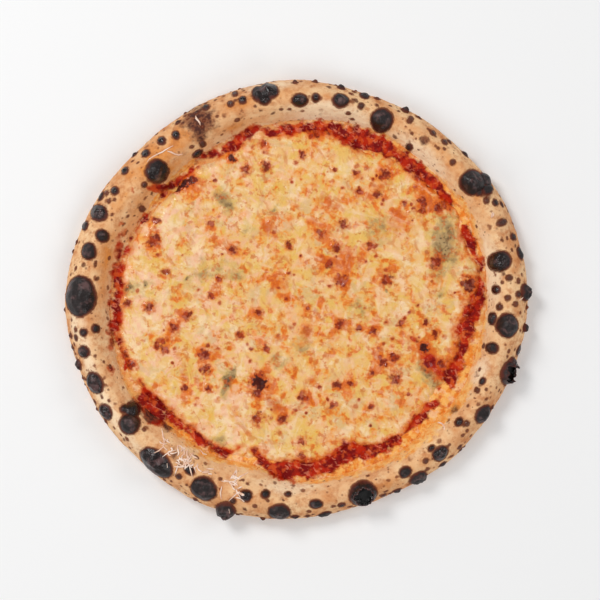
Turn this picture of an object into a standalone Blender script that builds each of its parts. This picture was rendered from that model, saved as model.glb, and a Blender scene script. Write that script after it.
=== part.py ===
"""A four cheese pizza from a wood oven, as separate solids: the leavened dough base with its puffed, blistered
rim, the tomato sauce, the sheet of melted cheese and the lumps of blue cheese that lie in it.

Metres, +Z up. The origin is on the table, under the middle of the pizza."""

import math
import random

import bmesh
import bpy
from mathutils import Matrix, Vector, noise
from mathutils.bvhtree import BVHTree

MM = 0.001
TURN_STEPS = 72  # sides of every turned piece
CLEARANCE = 0.3 * MM  # between pieces that touch

# Outlines seen from above: distances from the middle, in mm, at even steps anticlockwise from +X.
RIM_EDGE = (
    152.5, 151.5, 150.5, 147, 146, 145, 147.5, 147, 146.5, 147, 150.5, 154.5,
    157, 155, 154, 151.5, 151.5, 149, 146, 143.5, 144, 147, 148, 150.5,
)  # fmt: skip
RIM_FOOT = (
    123.5, 124, 123, 122.5, 122, 121.5, 119, 118, 116.5, 115, 116.5, 123,
    125.5, 126.5, 127, 119.5, 117.5, 113.5, 120.5, 118.5, 120, 119.5, 122.5, 121.5,
)  # fmt: skip
CHEESE_EDGE = (
    118, 122, 117, 121, 115.5, 116, 112, 110, 115, 114, 112, 112.5, 110.5, 113.5, 111.5, 115, 118.5, 121,
    124, 124.5, 124.5, 122, 115, 113.5, 114, 111.5, 109.5, 110, 108.5, 104, 112.5, 113.5, 110, 110.5, 113, 110,
)  # fmt: skip

# Dough. The rim's section goes from its foot, beside the sauce, over the crest and round to the table:
# share of the way from foot to edge, and height in mm on a rim of even width.
BASE_THICKNESS = 3.5
RIM_SECTION = (
    (0.03, 5), (0.09, 8.6), (0.17, 12.8), (0.27, 16.9), (0.38, 20), (0.5, 21.5), (0.62, 21.2), (0.73, 19.5),
    (0.83, 16.8), (0.91, 13.4), (0.97, 10), (1, 6.9), (0.98, 4), (0.92, 1.6), (0.84, 0.4),
)  # fmt: skip
RIM_EVEN_WIDTH = 30
SWELLING, SWELLING_LENGTH = 0.16, 34  # share of the height, and spacing in mm, of the dough's soft lumps
FLOOR_SHARE = 0.76  # how far across the rim's width the flat underside reaches

# Tomato sauce and melted cheese.
SAUCE_THICKNESS = 1.6
SAUCE_PULP, SAUCE_PULP_LENGTH = 0.4, 7
SAUCE_GAP_TO_FOOT = 0.6
CHEESE_THICKNESS = 3.1
CHEESE_RIPPLE, CHEESE_RIPPLE_LENGTH = 0.9, 15
CHEESE_GAP_TO_FOOT = 1.6

# Scorched air bubbles on top of the rim: degrees, distance from the middle, width across the rim's run
# and length along the radius, in mm.
BLISTERS = (
    (11, 135, 14.5, 16), (34, 137, 18, 17.5), (33, 147.5, 11, 6), (65.5, 131.5, 16, 16.5),
    (72.5, 143, 7, 5.5), (78.5, 135, 12, 10), (90, 132.5, 11.5, 9), (100, 139, 16, 15),
    (125, 119.5, 8.5, 4), (127, 137, 5.5, 6.5), (131, 140, 6, 6), (136.5, 141.5, 6.5, 5.5),
    (138, 127.5, 16.5, 15.5), (143.5, 144, 6, 5.5), (149.5, 142.5, 6, 6), (156.5, 145, 11.5, 13.5),
    (162, 137.5, 8.5, 9.5), (167, 143.5, 12.5, 10.5), (179, 146, 29, 22.5), (188, 137, 6, 5.5),
    (193.5, 147.5, 9, 8.5), (202, 147, 17, 11.5), (210, 148.5, 12, 8.5), (215, 139, 19, 14),
    (213, 131, 10, 6), (228.5, 143.5, 28, 16.5), (237, 134.5, 7.5, 6), (243, 140.5, 19.5, 16.5),
    (254.5, 134.5, 9, 8.5), (260, 130.5, 6, 6), (264.5, 141, 16, 11.5), (274.5, 136, 9.5, 6.5),
    (288, 135.5, 20, 18), (301.5, 134, 9.5, 7.5), (303.5, 141.5, 13.5, 9), (312.5, 138, 12.5, 9.5),
    (322.5, 133, 7, 5.5), (328, 143.5, 14.5, 10.5), (336, 132.5, 5.5, 4), (346, 131.5, 8, 8.5),
    (353, 138.5, 17, 16), (354.5, 128.5, 9, 5.5),
)  # fmt: skip
BLISTER_RISE, BLISTER_MOST_RISE = 0.22, 3.6  # height of a bubble over its width, and in mm
BLISTER_SUNK = 0.4  # how deep its middle lies, as a share of its rise

# Bubbles on the rim's outer side: degrees, height above the table, width and how far they stand out.
SIDE_BLISTERS = (
    (2, 12, 12, 5), (12, 11, 9, 2.5), (61, 10, 6, 3.5), (79, 11, 5.5, 3), (152.5, 12, 7, 2), (196.3, 10, 8, 3.5),
    (250.5, 13, 14, 7.5), (276.5, 9, 9, 2.5), (297, 9, 6, 2.5), (341, 13, 19, 6.5), (353, 10, 6, 4),
    (91.3, 12, 4, 3), (268.7, 12, 5.5, 2), (188.8, 11, 4, 2),
)  # fmt: skip

# Small bubbles fall anywhere on the rim, thicker towards its outer side.
SPECKS_ON_TOP, SPECKS_ON_SIDE = 30, 14
SPECK_SMALLEST, SPECK_LARGEST = 2.4, 4.6
SPECK_SIDE_HEIGHTS = (4.5, 13)

# Grated hard cheese that fell on the rim: degrees, distance from the middle, spread and number of shreds.
SHRED_HEAPS = (
    (232.5, 131, 9.5, 13), (249.5, 130, 8, 6), (133, 133.5, 4, 2), (120, 137, 1.5, 1), (222, 141, 3, 2),
    (226, 129, 3, 2), (251.5, 148, 1, 1), (23.5, 139, 2, 1), (359, 146, 1, 1), (318, 124.5, 2, 2),
)  # fmt: skip
SHRED_LENGTHS, SHRED_WIDTH, SHRED_THICKNESS = (5, 11), 1, 0.9
SHRED_PIECES = 3
SHREDS_ABOVE = 9  # none is left lower than this

# Blue cheese: place along X and Y, length, width in mm and turn in degrees.
BLUE_CHEESE = (
    (96, 36.5, 42, 14, 83), (86.5, -47.5, 24, 8.5, 111), (51, 48, 21, 12, 140), (-50.5, 66.5, 18, 7, 123),
    (-36, 46, 11, 8.5, 150), (-108.5, 8, 19, 8, 5), (-48, -55, 17, 5.5, 65), (-53.5, -94.5, 12, 9, 40),
    (2, -31.5, 13, 7, 25),
)  # fmt: skip
BLUE_CHEESE_HALF_HEIGHT, BLUE_CHEESE_SUNK = 1.2, 0.2


def around(distances, angle):
    """The distance at an angle on a smooth closed line through even steps round the pizza, in metres."""
    place = angle / math.tau % 1 * len(distances)
    step = int(place)
    t = place - step
    before, here, after, beyond = (distances[(step + k) % len(distances)] for k in (-1, 0, 1, 2))
    slope_here, slope_after = (after - before) / 2, (beyond - here) / 2
    bend = here * (2 * t**3 - 3 * t**2 + 1) + after * (3 * t**2 - 2 * t**3)
    return (bend + slope_here * (t**3 - 2 * t**2 + t) + slope_after * (t**3 - t**2)) * MM


def soft_noise(point, length):
    """Smooth unevenness from -1 to 1 that repeats about every length, in mm."""
    return noise.noise(point / (length * MM))


def finish(name, colour, roughness, coat=0.0):
    material = bpy.data.materials.new(name)
    material.use_nodes = True
    shader = material.node_tree.nodes["Principled BSDF"]
    shader.inputs["Base Color"].default_value = (*colour, 1)
    shader.inputs["Roughness"].default_value = roughness
    shader.inputs["Metallic"].default_value = 0
    shader.inputs["Coat Weight"].default_value = coat
    return material


def mesh_of(obj):
    """The object's mesh with its modifiers done."""
    graph = bpy.context.evaluated_depsgraph_get()
    return bpy.data.meshes.new_from_object(obj.evaluated_get(graph))


def turned(name, profile, place):
    """A solid turned from a profile of (station, height in mm), from the middle of the top out and back to
    the middle of the underside. place(station, angle, height) gives each point's distance and height."""
    mesh = bpy.data.meshes.new(name)
    rows = [(station, 0, height) for station, height in profile]
    mesh.from_pydata(rows, [(k, k + 1) for k in range(len(rows) - 1)], [])
    lathe = bpy.data.objects.new(name, mesh)
    pizza.objects.link(lathe)
    screw = lathe.modifiers.new("Turn", "SCREW")
    screw.steps = screw.render_steps = TURN_STEPS
    screw.use_merge_vertices = True
    screw.merge_threshold = 1e-5
    lathe.data = mesh_of(lathe)
    lathe.modifiers.clear()
    for vertex in lathe.data.vertices:
        x, y, height = vertex.co
        angle = math.atan2(y, x)
        distance, height = place(math.hypot(x, y), angle, height)
        vertex.co = (distance * math.cos(angle), distance * math.sin(angle), height)
    lathe.data.shade_smooth()
    return lathe


def rim_place(station, angle, height):
    """Station 0 is the pizza's middle, 1 the rim's foot and 2 its edge."""
    foot, edge = around(RIM_FOOT, angle), around(RIM_EDGE, angle)
    width = edge - foot
    if station <= 1:
        return station * foot, height * MM
    distance = foot + (station - 1) * width
    above = Vector((distance * math.cos(angle), distance * math.sin(angle), 0))
    swelling = SWELLING * soft_noise(above, SWELLING_LENGTH) + math.sqrt(width / (RIM_EVEN_WIDTH * MM)) - 1
    on_rim = min(1, (station - 1) / 0.2)
    return distance, height * MM * (1 + on_rim * swelling)


def make_crust():
    rim = [(1 + share, height) for share, height in RIM_SECTION]
    return turned("crust", [(0, BASE_THICKNESS), (1, BASE_THICKNESS), *rim, (1 + FLOOR_SHARE, 0), (0, 0)], rim_place)


def make_sauce():
    bottom = BASE_THICKNESS * MM + CLEARANCE
    top = bottom + SAUCE_THICKNESS * MM

    def place(station, angle, height):
        distance = station * (around(RIM_FOOT, angle) - SAUCE_GAP_TO_FOOT * MM)
        spot = Vector((distance * math.cos(angle), distance * math.sin(angle), 0))
        pulp = abs(soft_noise(spot, SAUCE_PULP_LENGTH)) * SAUCE_PULP * MM
        height = bottom + height * MM
        return distance, height - pulp if height > (bottom + top) / 2 else height

    thick = SAUCE_THICKNESS
    upper = [(0, thick), (0.8, thick), (0.88, thick), (0.94, thick), (0.985, thick * 0.8)]
    return turned("tomato_sauce", [*upper, (1, thick * 0.3), (0.99, 0), (0, 0)], place)


def cheese_bottom():
    return (BASE_THICKNESS + SAUCE_THICKNESS) * MM + 2 * CLEARANCE


def make_cheese():
    def place(station, angle, height):
        room = around(RIM_FOOT, angle) - CHEESE_GAP_TO_FOOT * MM
        distance = station * min(around(CHEESE_EDGE, angle), room)
        spot = Vector((distance * math.cos(angle), distance * math.sin(angle), 0))
        share_of_top = height / CHEESE_THICKNESS
        ripple = soft_noise(spot, CHEESE_RIPPLE_LENGTH) * CHEESE_RIPPLE * MM * share_of_top
        return distance, cheese_bottom() + height * MM + ripple

    rings = 8
    upper = [(0.93 * k / rings, CHEESE_THICKNESS) for k in range(rings + 1)]
    side = [(0.975, 0.8), (1, 0.4), (0.99, 0)]
    edge = [(station, share * CHEESE_THICKNESS) for station, share in side]
    return turned("melted_cheese", [*upper, *edge, (0, 0)], place)


class Perch:
    """Finds where something that falls on solids, or is pushed at them from the side, comes to rest."""

    def __init__(self, solids):
        graph = bpy.context.evaluated_depsgraph_get()
        self.trees = [BVHTree.FromObject(solid, graph) for solid in solids]

    def _first(self, start, direction):
        hits = [tree.ray_cast(start, direction) for tree in self.trees]
        hits = [hit for hit in hits if hit[0] is not None]
        return min(hits, key=lambda hit: hit[3])[:2] if hits else None

    def on_top(self, x, y):
        return self._first(Vector((x, y, 0.1)), Vector((0, 0, -1)))

    def on_side(self, angle, height):
        outwards = Vector((math.cos(angle), math.sin(angle), 0))
        return self._first(outwards * 0.3 + Vector((0, 0, height)), -outwards)


def resting_frame(point, normal, outwards):
    """Places a piece at point, with its Z along the surface's normal and its X outwards along the surface."""
    along = (outwards - outwards.dot(normal) * normal).normalized()
    across = normal.cross(along)
    return Matrix.Translation(point) @ Matrix((along, across, normal)).transposed().to_4x4()


def add_ball(name, collection, matrix, half_sizes):
    """An egg shape; the larger it is, the finer it is made."""
    mesh = bpy.data.meshes.new(name)
    ball = bmesh.new()
    size = half_sizes[0] + half_sizes[1]
    if size < 5 * MM:
        bmesh.ops.create_icosphere(ball, subdivisions=1, radius=1)
    elif size < 9 * MM:
        bmesh.ops.create_uvsphere(ball, u_segments=8, v_segments=4, radius=1)
    else:
        bmesh.ops.create_icosphere(ball, subdivisions=2, radius=1)
    bmesh.ops.transform(ball, matrix=matrix @ Matrix.Diagonal((*half_sizes, 1)), verts=ball.verts)
    ball.to_mesh(mesh)
    ball.free()
    obj = bpy.data.objects.new(name, mesh)
    collection.objects.link(obj)
    return obj


def polar(degrees, distance):
    angle = math.radians(degrees)
    return distance * MM * math.cos(angle), distance * MM * math.sin(angle)


def blister_the_rim(perch, bumps, draw):
    """Puts the scorched bubbles on the rim, the listed ones first and then the small ones between them."""
    taken = []

    def swell(hit, width, length, rise):
        point, normal = hit
        outwards = Vector((point.x, point.y, 0)).normalized()
        matrix = resting_frame(point - normal * BLISTER_SUNK * rise * MM, normal, outwards)
        half_sizes = (length / 2 * MM, width / 2 * MM, (1 + BLISTER_SUNK) * rise * MM)
        taken.append((point, max(width, length) / 2 * MM))
        add_ball("blister", bumps, matrix, half_sizes)

    for degrees, distance, width, length in BLISTERS:
        rise = min(BLISTER_MOST_RISE, BLISTER_RISE * (width + length) / 2)
        swell(perch.on_top(*polar(degrees, distance)), width, length, rise)
    for degrees, height, width, rise in SIDE_BLISTERS:
        swell(perch.on_side(math.radians(degrees), height * MM), width, width * 0.8, rise)

    def is_free(point, radius):
        return all((point - other).length > radius + reach for other, reach in taken)

    left = {"top": SPECKS_ON_TOP, "side": SPECKS_ON_SIDE}
    while left["top"] or left["side"]:
        angle = draw.uniform(0, math.tau)
        size = draw.uniform(SPECK_SMALLEST, SPECK_LARGEST)
        side = "top" if left["top"] else "side"
        if side == "top":
            foot, edge = around(RIM_FOOT, angle), around(RIM_EDGE, angle)
            distance = foot + (edge - foot) * (0.2 + 0.72 * math.sqrt(draw.random()))
            hit = perch.on_top(distance * math.cos(angle), distance * math.sin(angle))
        else:
            hit = perch.on_side(angle, draw.uniform(*SPECK_SIDE_HEIGHTS) * MM)
        if hit and is_free(hit[0], size / 2 * MM):
            swell(hit, size, size * draw.uniform(0.8, 1.2), size * 0.4)
            left[side] -= 1


def strip(name, collection, path, facing, width, thickness):
    """A flat shred along a path of points, with its flat side facing one way."""
    mesh = bpy.data.meshes.new(name)
    bar = bmesh.new()
    bmesh.ops.create_cube(bar, size=1)
    long_edges = [edge for edge in bar.edges if abs(edge.verts[0].co.x - edge.verts[1].co.x) > 0.5]
    bmesh.ops.subdivide_edges(bar, edges=long_edges, cuts=len(path) - 2, use_grid_fill=True)
    for vertex in bar.verts:
        share, across, up = vertex.co
        step = round((share + 0.5) * (len(path) - 1))
        heading = path[min(step + 1, len(path) - 1)] - path[max(step - 1, 0)]
        sideways = facing.cross(heading).normalized()
        vertex.co = path[step] + sideways * across * width * MM + facing * up * thickness * MM
    bar.to_mesh(mesh)
    bar.free()
    collection.objects.link(bpy.data.objects.new(name, mesh))


def drop_shreds(perch, bumps, draw):
    """Grated cheese, each shred a gently curled strip that follows what it fell on."""
    for degrees, distance, spread, count in SHRED_HEAPS:
        middle = Vector(polar(degrees, distance))
        for _ in range(count):
            heading = draw.uniform(0, math.tau)
            curl = draw.uniform(-0.5, 0.5)
            length = draw.uniform(*SHRED_LENGTHS) * MM
            spot = middle + Vector((draw.gauss(0, spread / 2), draw.gauss(0, spread / 2))) * MM
            hits = []
            for _ in range(SHRED_PIECES + 1):
                hits.append(perch.on_top(*spot))
                spot = spot + Vector((math.cos(heading), math.sin(heading))) * length / SHRED_PIECES
                heading += curl
            if all(hit and hit[0].z > SHREDS_ABOVE * MM for hit in hits):
                path = [point + Vector((0, 0, SHRED_THICKNESS * 0.2 * MM)) for point, _ in hits]
                facing = (sum((normal for _, normal in hits), Vector()) / len(hits)).normalized()
                strip("shred", bumps, path, facing, SHRED_WIDTH, SHRED_THICKNESS)


def keep_outer_skin(mesh):
    """Clears the walls of hollows that are closed in, such as those under crossed shreds."""
    skin = bmesh.new()
    skin.from_mesh(mesh)
    islands, left = [], set(skin.verts)
    while left:
        front = [left.pop()]
        island = list(front)
        while front:
            near = {edge.other_vert(vertex) for vertex in front for edge in vertex.link_edges} & left
            left -= near
            front = list(near)
            island += front
        islands.append(island)
    islands.sort(key=len)
    bmesh.ops.delete(skin, geom=[vertex for island in islands[:-1] for vertex in island], context="VERTS")
    skin.to_mesh(mesh)
    skin.free()


def boolean(obj, operation, collection):
    """Joins or cuts the object with all of a collection, for good, and clears the collection away."""
    modifier = obj.modifiers.new("Join", "BOOLEAN")
    modifier.operation = operation
    modifier.operand_type = "COLLECTION"
    modifier.collection = collection
    modifier.solver = "EXACT"
    obj.data = mesh_of(obj)
    obj.modifiers.clear()
    keep_outer_skin(obj.data)
    for other in list(collection.objects):
        bpy.data.objects.remove(other)
    bpy.data.collections.remove(collection)


def new_collection(name):
    collection = bpy.data.collections.new(name)
    bpy.context.scene.collection.children.link(collection)
    return collection


def lay_blue_cheese(cheese, pockets):
    """Soft lumps, each in a pocket of the melted cheese that is a clearance larger all round."""
    perch = Perch([cheese])
    lumps = []
    for number, (x, y, length, width, turn) in enumerate(BLUE_CHEESE, 1):
        point, _ = perch.on_top(x * MM, y * MM)
        point = point - Vector((0, 0, BLUE_CHEESE_SUNK * MM))
        matrix = Matrix.Translation(point) @ Matrix.Rotation(math.radians(turn), 4, "Z")
        half_sizes = Vector((length / 2, width / 2, BLUE_CHEESE_HALF_HEIGHT)) * MM
        lumps.append(add_ball(f"blue_cheese_{number}", pizza, matrix, half_sizes))
        grown = half_sizes + Vector((1, 1, 1)) * CLEARANCE * 1.3
        add_ball("pocket", pockets, matrix, grown)
        lumps[-1].data.shade_smooth()
    return lumps


for old in list(bpy.data.objects):
    bpy.data.objects.remove(old)
pizza = new_collection("four_cheese_pizza")

draw_places = random.Random(4)

crust = make_crust()
bumps_on_rim = new_collection("bumps")
blister_the_rim(Perch([crust]), bumps_on_rim, draw_places)
drop_shreds(Perch([crust, *bumps_on_rim.objects]), bumps_on_rim, draw_places)
boolean(crust, "UNION", bumps_on_rim)

sauce = make_sauce()
cheese_sheet = make_cheese()
cheese_pockets = new_collection("pockets")
blue_lumps = lay_blue_cheese(cheese_sheet, cheese_pockets)
boolean(cheese_sheet, "DIFFERENCE", cheese_pockets)

crust.data.materials.append(finish("baked_dough", (0.71, 0.46, 0.26), 0.75))
sauce.data.materials.append(finish("tomato", (0.42, 0.03, 0.01), 0.35, coat=0.4))
cheese_sheet.data.materials.append(finish("melted_cheese", (0.86, 0.58, 0.27), 0.4, coat=0.3))
blue_finish = finish("blue_cheese", (0.42, 0.42, 0.24), 0.45, coat=0.2)
for lump in blue_lumps:
    lump.data.materials.append(blue_finish)
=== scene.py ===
import math
import random

import bpy
import numpy as np
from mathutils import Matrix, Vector, noise


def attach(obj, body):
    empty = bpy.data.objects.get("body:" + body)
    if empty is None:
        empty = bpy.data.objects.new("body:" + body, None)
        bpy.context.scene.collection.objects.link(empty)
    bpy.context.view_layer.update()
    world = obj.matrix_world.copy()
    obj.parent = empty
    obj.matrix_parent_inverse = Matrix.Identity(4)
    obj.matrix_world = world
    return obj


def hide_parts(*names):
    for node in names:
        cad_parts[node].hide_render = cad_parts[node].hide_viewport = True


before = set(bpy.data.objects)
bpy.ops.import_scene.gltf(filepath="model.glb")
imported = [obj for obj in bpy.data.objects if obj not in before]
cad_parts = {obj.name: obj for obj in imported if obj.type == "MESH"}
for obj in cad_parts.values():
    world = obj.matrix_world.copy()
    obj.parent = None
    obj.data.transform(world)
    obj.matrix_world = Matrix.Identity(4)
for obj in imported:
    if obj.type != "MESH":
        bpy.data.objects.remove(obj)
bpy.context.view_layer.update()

# ------------------------------------------------------------------------------------------------
# Dough base and rim. Leavened wheat dough, pressed out by hand from the middle, so that the gas goes
# to the edge and the edge puffs up in the oven. It is one piece with flour on it, pale on its inner slope
# and golden on top, with the bare floury underside lying on the table. Some of the pale patches on the
# inner slope are painted light that brightens the slope.

MM = 0.001
# The rim's outline and the foot of its inner slope, in mm from the middle, every 15 degrees from +X.
RIM_EDGE = (
    152.5, 151.5, 150.5, 147, 146, 145, 147.5, 147, 146.5, 147, 150.5, 154.5, 157, 155, 154, 151.5, 151.5,
    149, 146, 143.5, 144, 147, 148, 150.5,
)
RIM_FOOT = (
    123.5, 124, 123, 122.5, 122, 121.5, 119, 118, 116.5, 115, 116.5, 123, 125.5, 126.5, 127, 119.5, 117.5,
    113.5, 120.5, 118.5, 120, 119.5, 122.5, 121.5,
)
# The rim's section from its foot over the top and down to the table: share of its width, height in mm.
RIM_SECTION = (
    (0, 3.5), (0.03, 5), (0.09, 8.6), (0.17, 12.8), (0.27, 16.9), (0.38, 20), (0.5, 21.5), (0.62, 21.2),
    (0.73, 19.5), (0.83, 16.8), (0.91, 13.4), (0.97, 10), (1, 6.9), (0.98, 4), (0.92, 1.6), (0.84, 0.4),
    (0.76, 0),
)
# The section is drawn for a rim this wide. A wider one is higher, and the gas lifts it unevenly: all of that
# grows over the first share of the width.
RIM_EVEN_WIDTH, RIM_EVEN_SHARE = 30, 0.2
DOUGH_SWELLING, DOUGH_SWELLING_LENGTH = 0.16, 34
BASE_THICKNESS = 3.5
FLAT_UP_TO, UNEVEN_FROM = 1.2, 4  # heights in mm between which the fine lumps of the dough grow
# Points round the pizza and along the section, and how many of these face inwards and downwards.
DOUGH_STEPS, SECTION_STEPS, INWARD_STEPS, UNDER_STEPS = 640, 92, 40, 4
# Rings of the floor inside the rim and of the underside, as shares of the way out.
FLOOR_RINGS, TABLE_RINGS = np.array([0.4, 0.8, 0.95, 0.985]), np.linspace(0.97, 0.05, 22)
# How many small bubbles grow on the rim: share of the way along its section, and share of the most.
AIRY = ((0.1, 0), (0.3, 0.25), (0.42, 0.3), (0.6, 1), (0.86, 1), (0.95, 0))
# How far oil has crept up the rim from its foot, in mm, every 15 degrees from +X.
OIL_REACH = (3, 5, 7, 4, 5, 4, 2, 1.5, 1, 7, 3, 1, 2, 3, 4, 6, 7, 6, 4, 6, 8, 10, 10, 6)
# Where the ring of bare sauce begins and ends, in mm from the middle, every 5 degrees from +X.
SAUCE_FROM = (
    117, 119, 122.5, 118, 116, 118, 119, 115, 115, 114, 112.5, 112, 112, 109.5, 107, 109, 112, 111, 111,
    111, 112, 116, 111, 110, 110, 115, 112, 112, 115, 115.5, 116, 118, 119, 120, 121, 122, 122, 124, 124,
    123, 122, 121, 118, 114, 113, 113, 113, 112, 112, 109, 104, 106, 109, 109, 108, 108, 105, 100, 101, 107,
    110, 111, 112, 109, 110, 112, 111, 109, 110, 111, 111, 112,
)
SAUCE_TO = (
    121, 122, 124, 124, 124, 122, 120.5, 121, 122, 122, 122, 122, 122, 122.5, 122.5, 121.5, 120, 119.5, 119,
    117.5, 117, 119, 119, 117, 116, 117, 114, 114, 116, 116, 116.5, 119, 121, 123, 125, 126, 126, 127, 128,
    126, 125, 123, 123, 121, 120, 119, 119, 118, 118, 115, 104, 112, 118.5, 120, 120, 119.5, 118, 115, 115,
    116, 117, 116, 114, 115, 116, 117, 118, 118, 117, 118, 119, 119,
)
# Where sauce lies on the cheese, or cheese and oil hide it, off the ring: x, y, length and width in mm, the
# turn of the length in degrees, and 1 for sauce or -1 for none.
SAUCE_POOLS = (
    (90, -43, 30, 10, -48, 1), (-99, -72, 28, 14, -52, 1), (114, -11, 46, 12, 72, 1),
    (-122.3, 2, 64, 7.5, 86, 1), (-90, 75.5, 24, 5, 10, 1), (106, 58, 20, 15, -60, -1),
    (97, -63, 13, 13, 0, -1), (-113, -53, 20, 13, -65, -1),
)
# Patches on the rim: degrees round, mm from the middle, width along the rim and across it, and strength.
SCORCHED_PATCHES = (
    (119.5, 136, 33, 27, 1.15), (121, 128, 18, 15, 0.85), (325, 126, 14, 8, 0.5), (213, 131, 16, 10, 1),
    (217.5, 126, 18, 14, 1), (224, 123, 12, 8, 0.8), (52, 134, 10, 9, 1), (30.5, 142.5, 16, 13, 1),
    (150, 124, 12, 7, 0.5), (232, 132, 28, 16, 0.4),
)
# Pale patches: flour, and on the inner slope round 0, 50, 80 and 266 degrees painted light that brightens the
# slope.
FLOUR_AND_LIGHT_PATCHES = (
    (338.3, 128.5, 30, 16, 1.2), (266, 125, 60, 16, 1), (9, 129, 84, 18, 1.1), (50, 126, 70, 17, 1.3),
    (80, 125, 84, 24, 1.5), (232, 126, 30, 12, 0.5), (204, 146, 200, 14, 1), (186, 150, 60, 12, 1),
    (98, 145, 70, 14, 0.8),
)
TOASTED_PATCHES = (
    (135, 134, 110, 28, 0.9), (150, 124, 90, 12, 1), (170, 131, 84, 16, 1), (200, 125, 60, 14, 0.5),
    (45, 136, 90, 12, 0.6), (30, 135, 50, 14, 0.8), (98, 136, 90, 14, 0.7), (112, 123, 60, 12, 0.9),
    (134, 122, 60, 12, 0.9), (150, 135, 60, 16, 0.9), (300, 134, 60, 14, 0.5),
)


def around(distances, angles):
    """Distances at angles on a smooth closed line through even steps round the pizza, in metres."""
    places = np.asarray(angles) / math.tau % 1 * len(distances)
    steps = places.astype(int)
    t = places - steps
    before, here, after, beyond = (np.take(distances, steps + k, mode="wrap") for k in (-1, 0, 1, 2))
    bend = here * (2 * t**3 - 3 * t**2 + 1) + after * (3 * t**2 - 2 * t**3)
    return (bend + (after - before) / 2 * (t**3 - 2 * t**2 + t) + (beyond - here) / 2 * (t**3 - t**2)) * MM


def along_section(points, count):
    """Evenly spaced shares of the width and heights, on a smooth line through a section's points."""
    line = []
    padded = np.array([points[0], *points, points[-1]], dtype=float)
    for k in range(1, len(padded) - 2):
        before, here, after, beyond = padded[k - 1 : k + 3]
        for t in np.linspace(0, 1, 12, endpoint=False):
            line.append(
                here + t * (after - before) / 2
                + t**2 * (before - 2.5 * here + 2 * after - beyond / 2)
                + t**3 * (1.5 * (here - after) + (beyond - before) / 2)
            )
    line = np.array([*line, padded[-1]])
    lengths = np.hypot(*(np.diff(line, axis=0) * (RIM_EVEN_WIDTH, 1)).T)
    run = np.concatenate([[0], np.cumsum(lengths)])
    even = np.linspace(0, run[-1], count)
    return np.interp(even, run, line[:, 0]), np.interp(even, run, line[:, 1])


def new_piece(name, points, edges=(), faces=()):
    mesh = bpy.data.meshes.new(name)
    mesh.from_pydata(points, edges, faces)
    piece = bpy.data.objects.new(name, mesh)
    bpy.context.scene.collection.objects.link(piece)
    return piece


def ringed_piece(name, distances, heights, angles):
    """A closed piece of rings: a row of distances and heights for each, from the middle of the top out and
    back to the middle of the underside."""
    rows, steps = distances.shape
    rings = np.stack([distances * np.cos(angles), distances * np.sin(angles), heights], axis=-1)
    top, bottom = rows * steps, rows * steps + 1
    points = [*map(tuple, rings.reshape(-1, 3)), (0, 0, heights[0].mean()), (0, 0, heights[-1].mean())]
    near = np.arange(steps)
    after = (near + 1) % steps
    faces = [(top, a, b) for a, b in zip(near, after)]
    for row in range(rows - 1):
        inner, outer = row * steps, (row + 1) * steps
        faces += zip(inner + near, outer + near, outer + after, inner + after)
    faces += [(bottom, (rows - 1) * steps + b, (rows - 1) * steps + a) for a, b in zip(near, after)]
    return new_piece(name, points, faces=[tuple(map(int, face)) for face in faces])


def note_on(piece, **notes):
    """Keeps a number, or three, for each point of the piece, for its material and its recipes. Points that
    are left over get 0."""
    count = len(piece.data.vertices)
    for name, values in notes.items():
        values = np.asarray(values, dtype=float)
        kind, field = "FLOAT_VECTOR", "vector"
        if values.shape != (count, 3):
            kind, field = "FLOAT", "value"
            values = np.append(values.ravel(), [0] * (count - values.size))
        piece.data.attributes.new(name, kind, "POINT").data.foreach_set(field, values.ravel())


class Socket:
    """A node's output that stands in a Python sum. Each operation on it adds a Math node."""

    def __init__(self, nodes, socket):
        self.nodes, self.socket = nodes, socket

    def output(self, name):
        return Socket(self.nodes, self.socket.node.outputs[name])

    def maths(self, operation, *terms):
        return self.nodes.add("ShaderNodeMath", {"operation": operation}, dict(enumerate(terms)))

    def __rsub__(self, term):
        return self.maths("SUBTRACT", term, self)

    def __abs__(self):
        return self.maths("ABSOLUTE", self)

    def rising(self, low, high):
        """Goes smoothly from 0 at low to 1 at high."""
        inputs = {"Value": self, "From Min": low, "From Max": high}
        return self.nodes.add("ShaderNodeMapRange", {"interpolation_type": "SMOOTHSTEP"}, inputs)


OPERATIONS = {
    "__add__": "ADD", "__radd__": "ADD", "__mul__": "MULTIPLY", "__rmul__": "MULTIPLY", "__sub__": "SUBTRACT",
    "__truediv__": "DIVIDE", "__pow__": "POWER", "__lt__": "LESS_THAN", "most": "MAXIMUM", "least": "MINIMUM",
}
for method, operation in OPERATIONS.items():
    setattr(Socket, method, lambda self, term, kind=operation: self.maths(kind, self, term))


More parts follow.
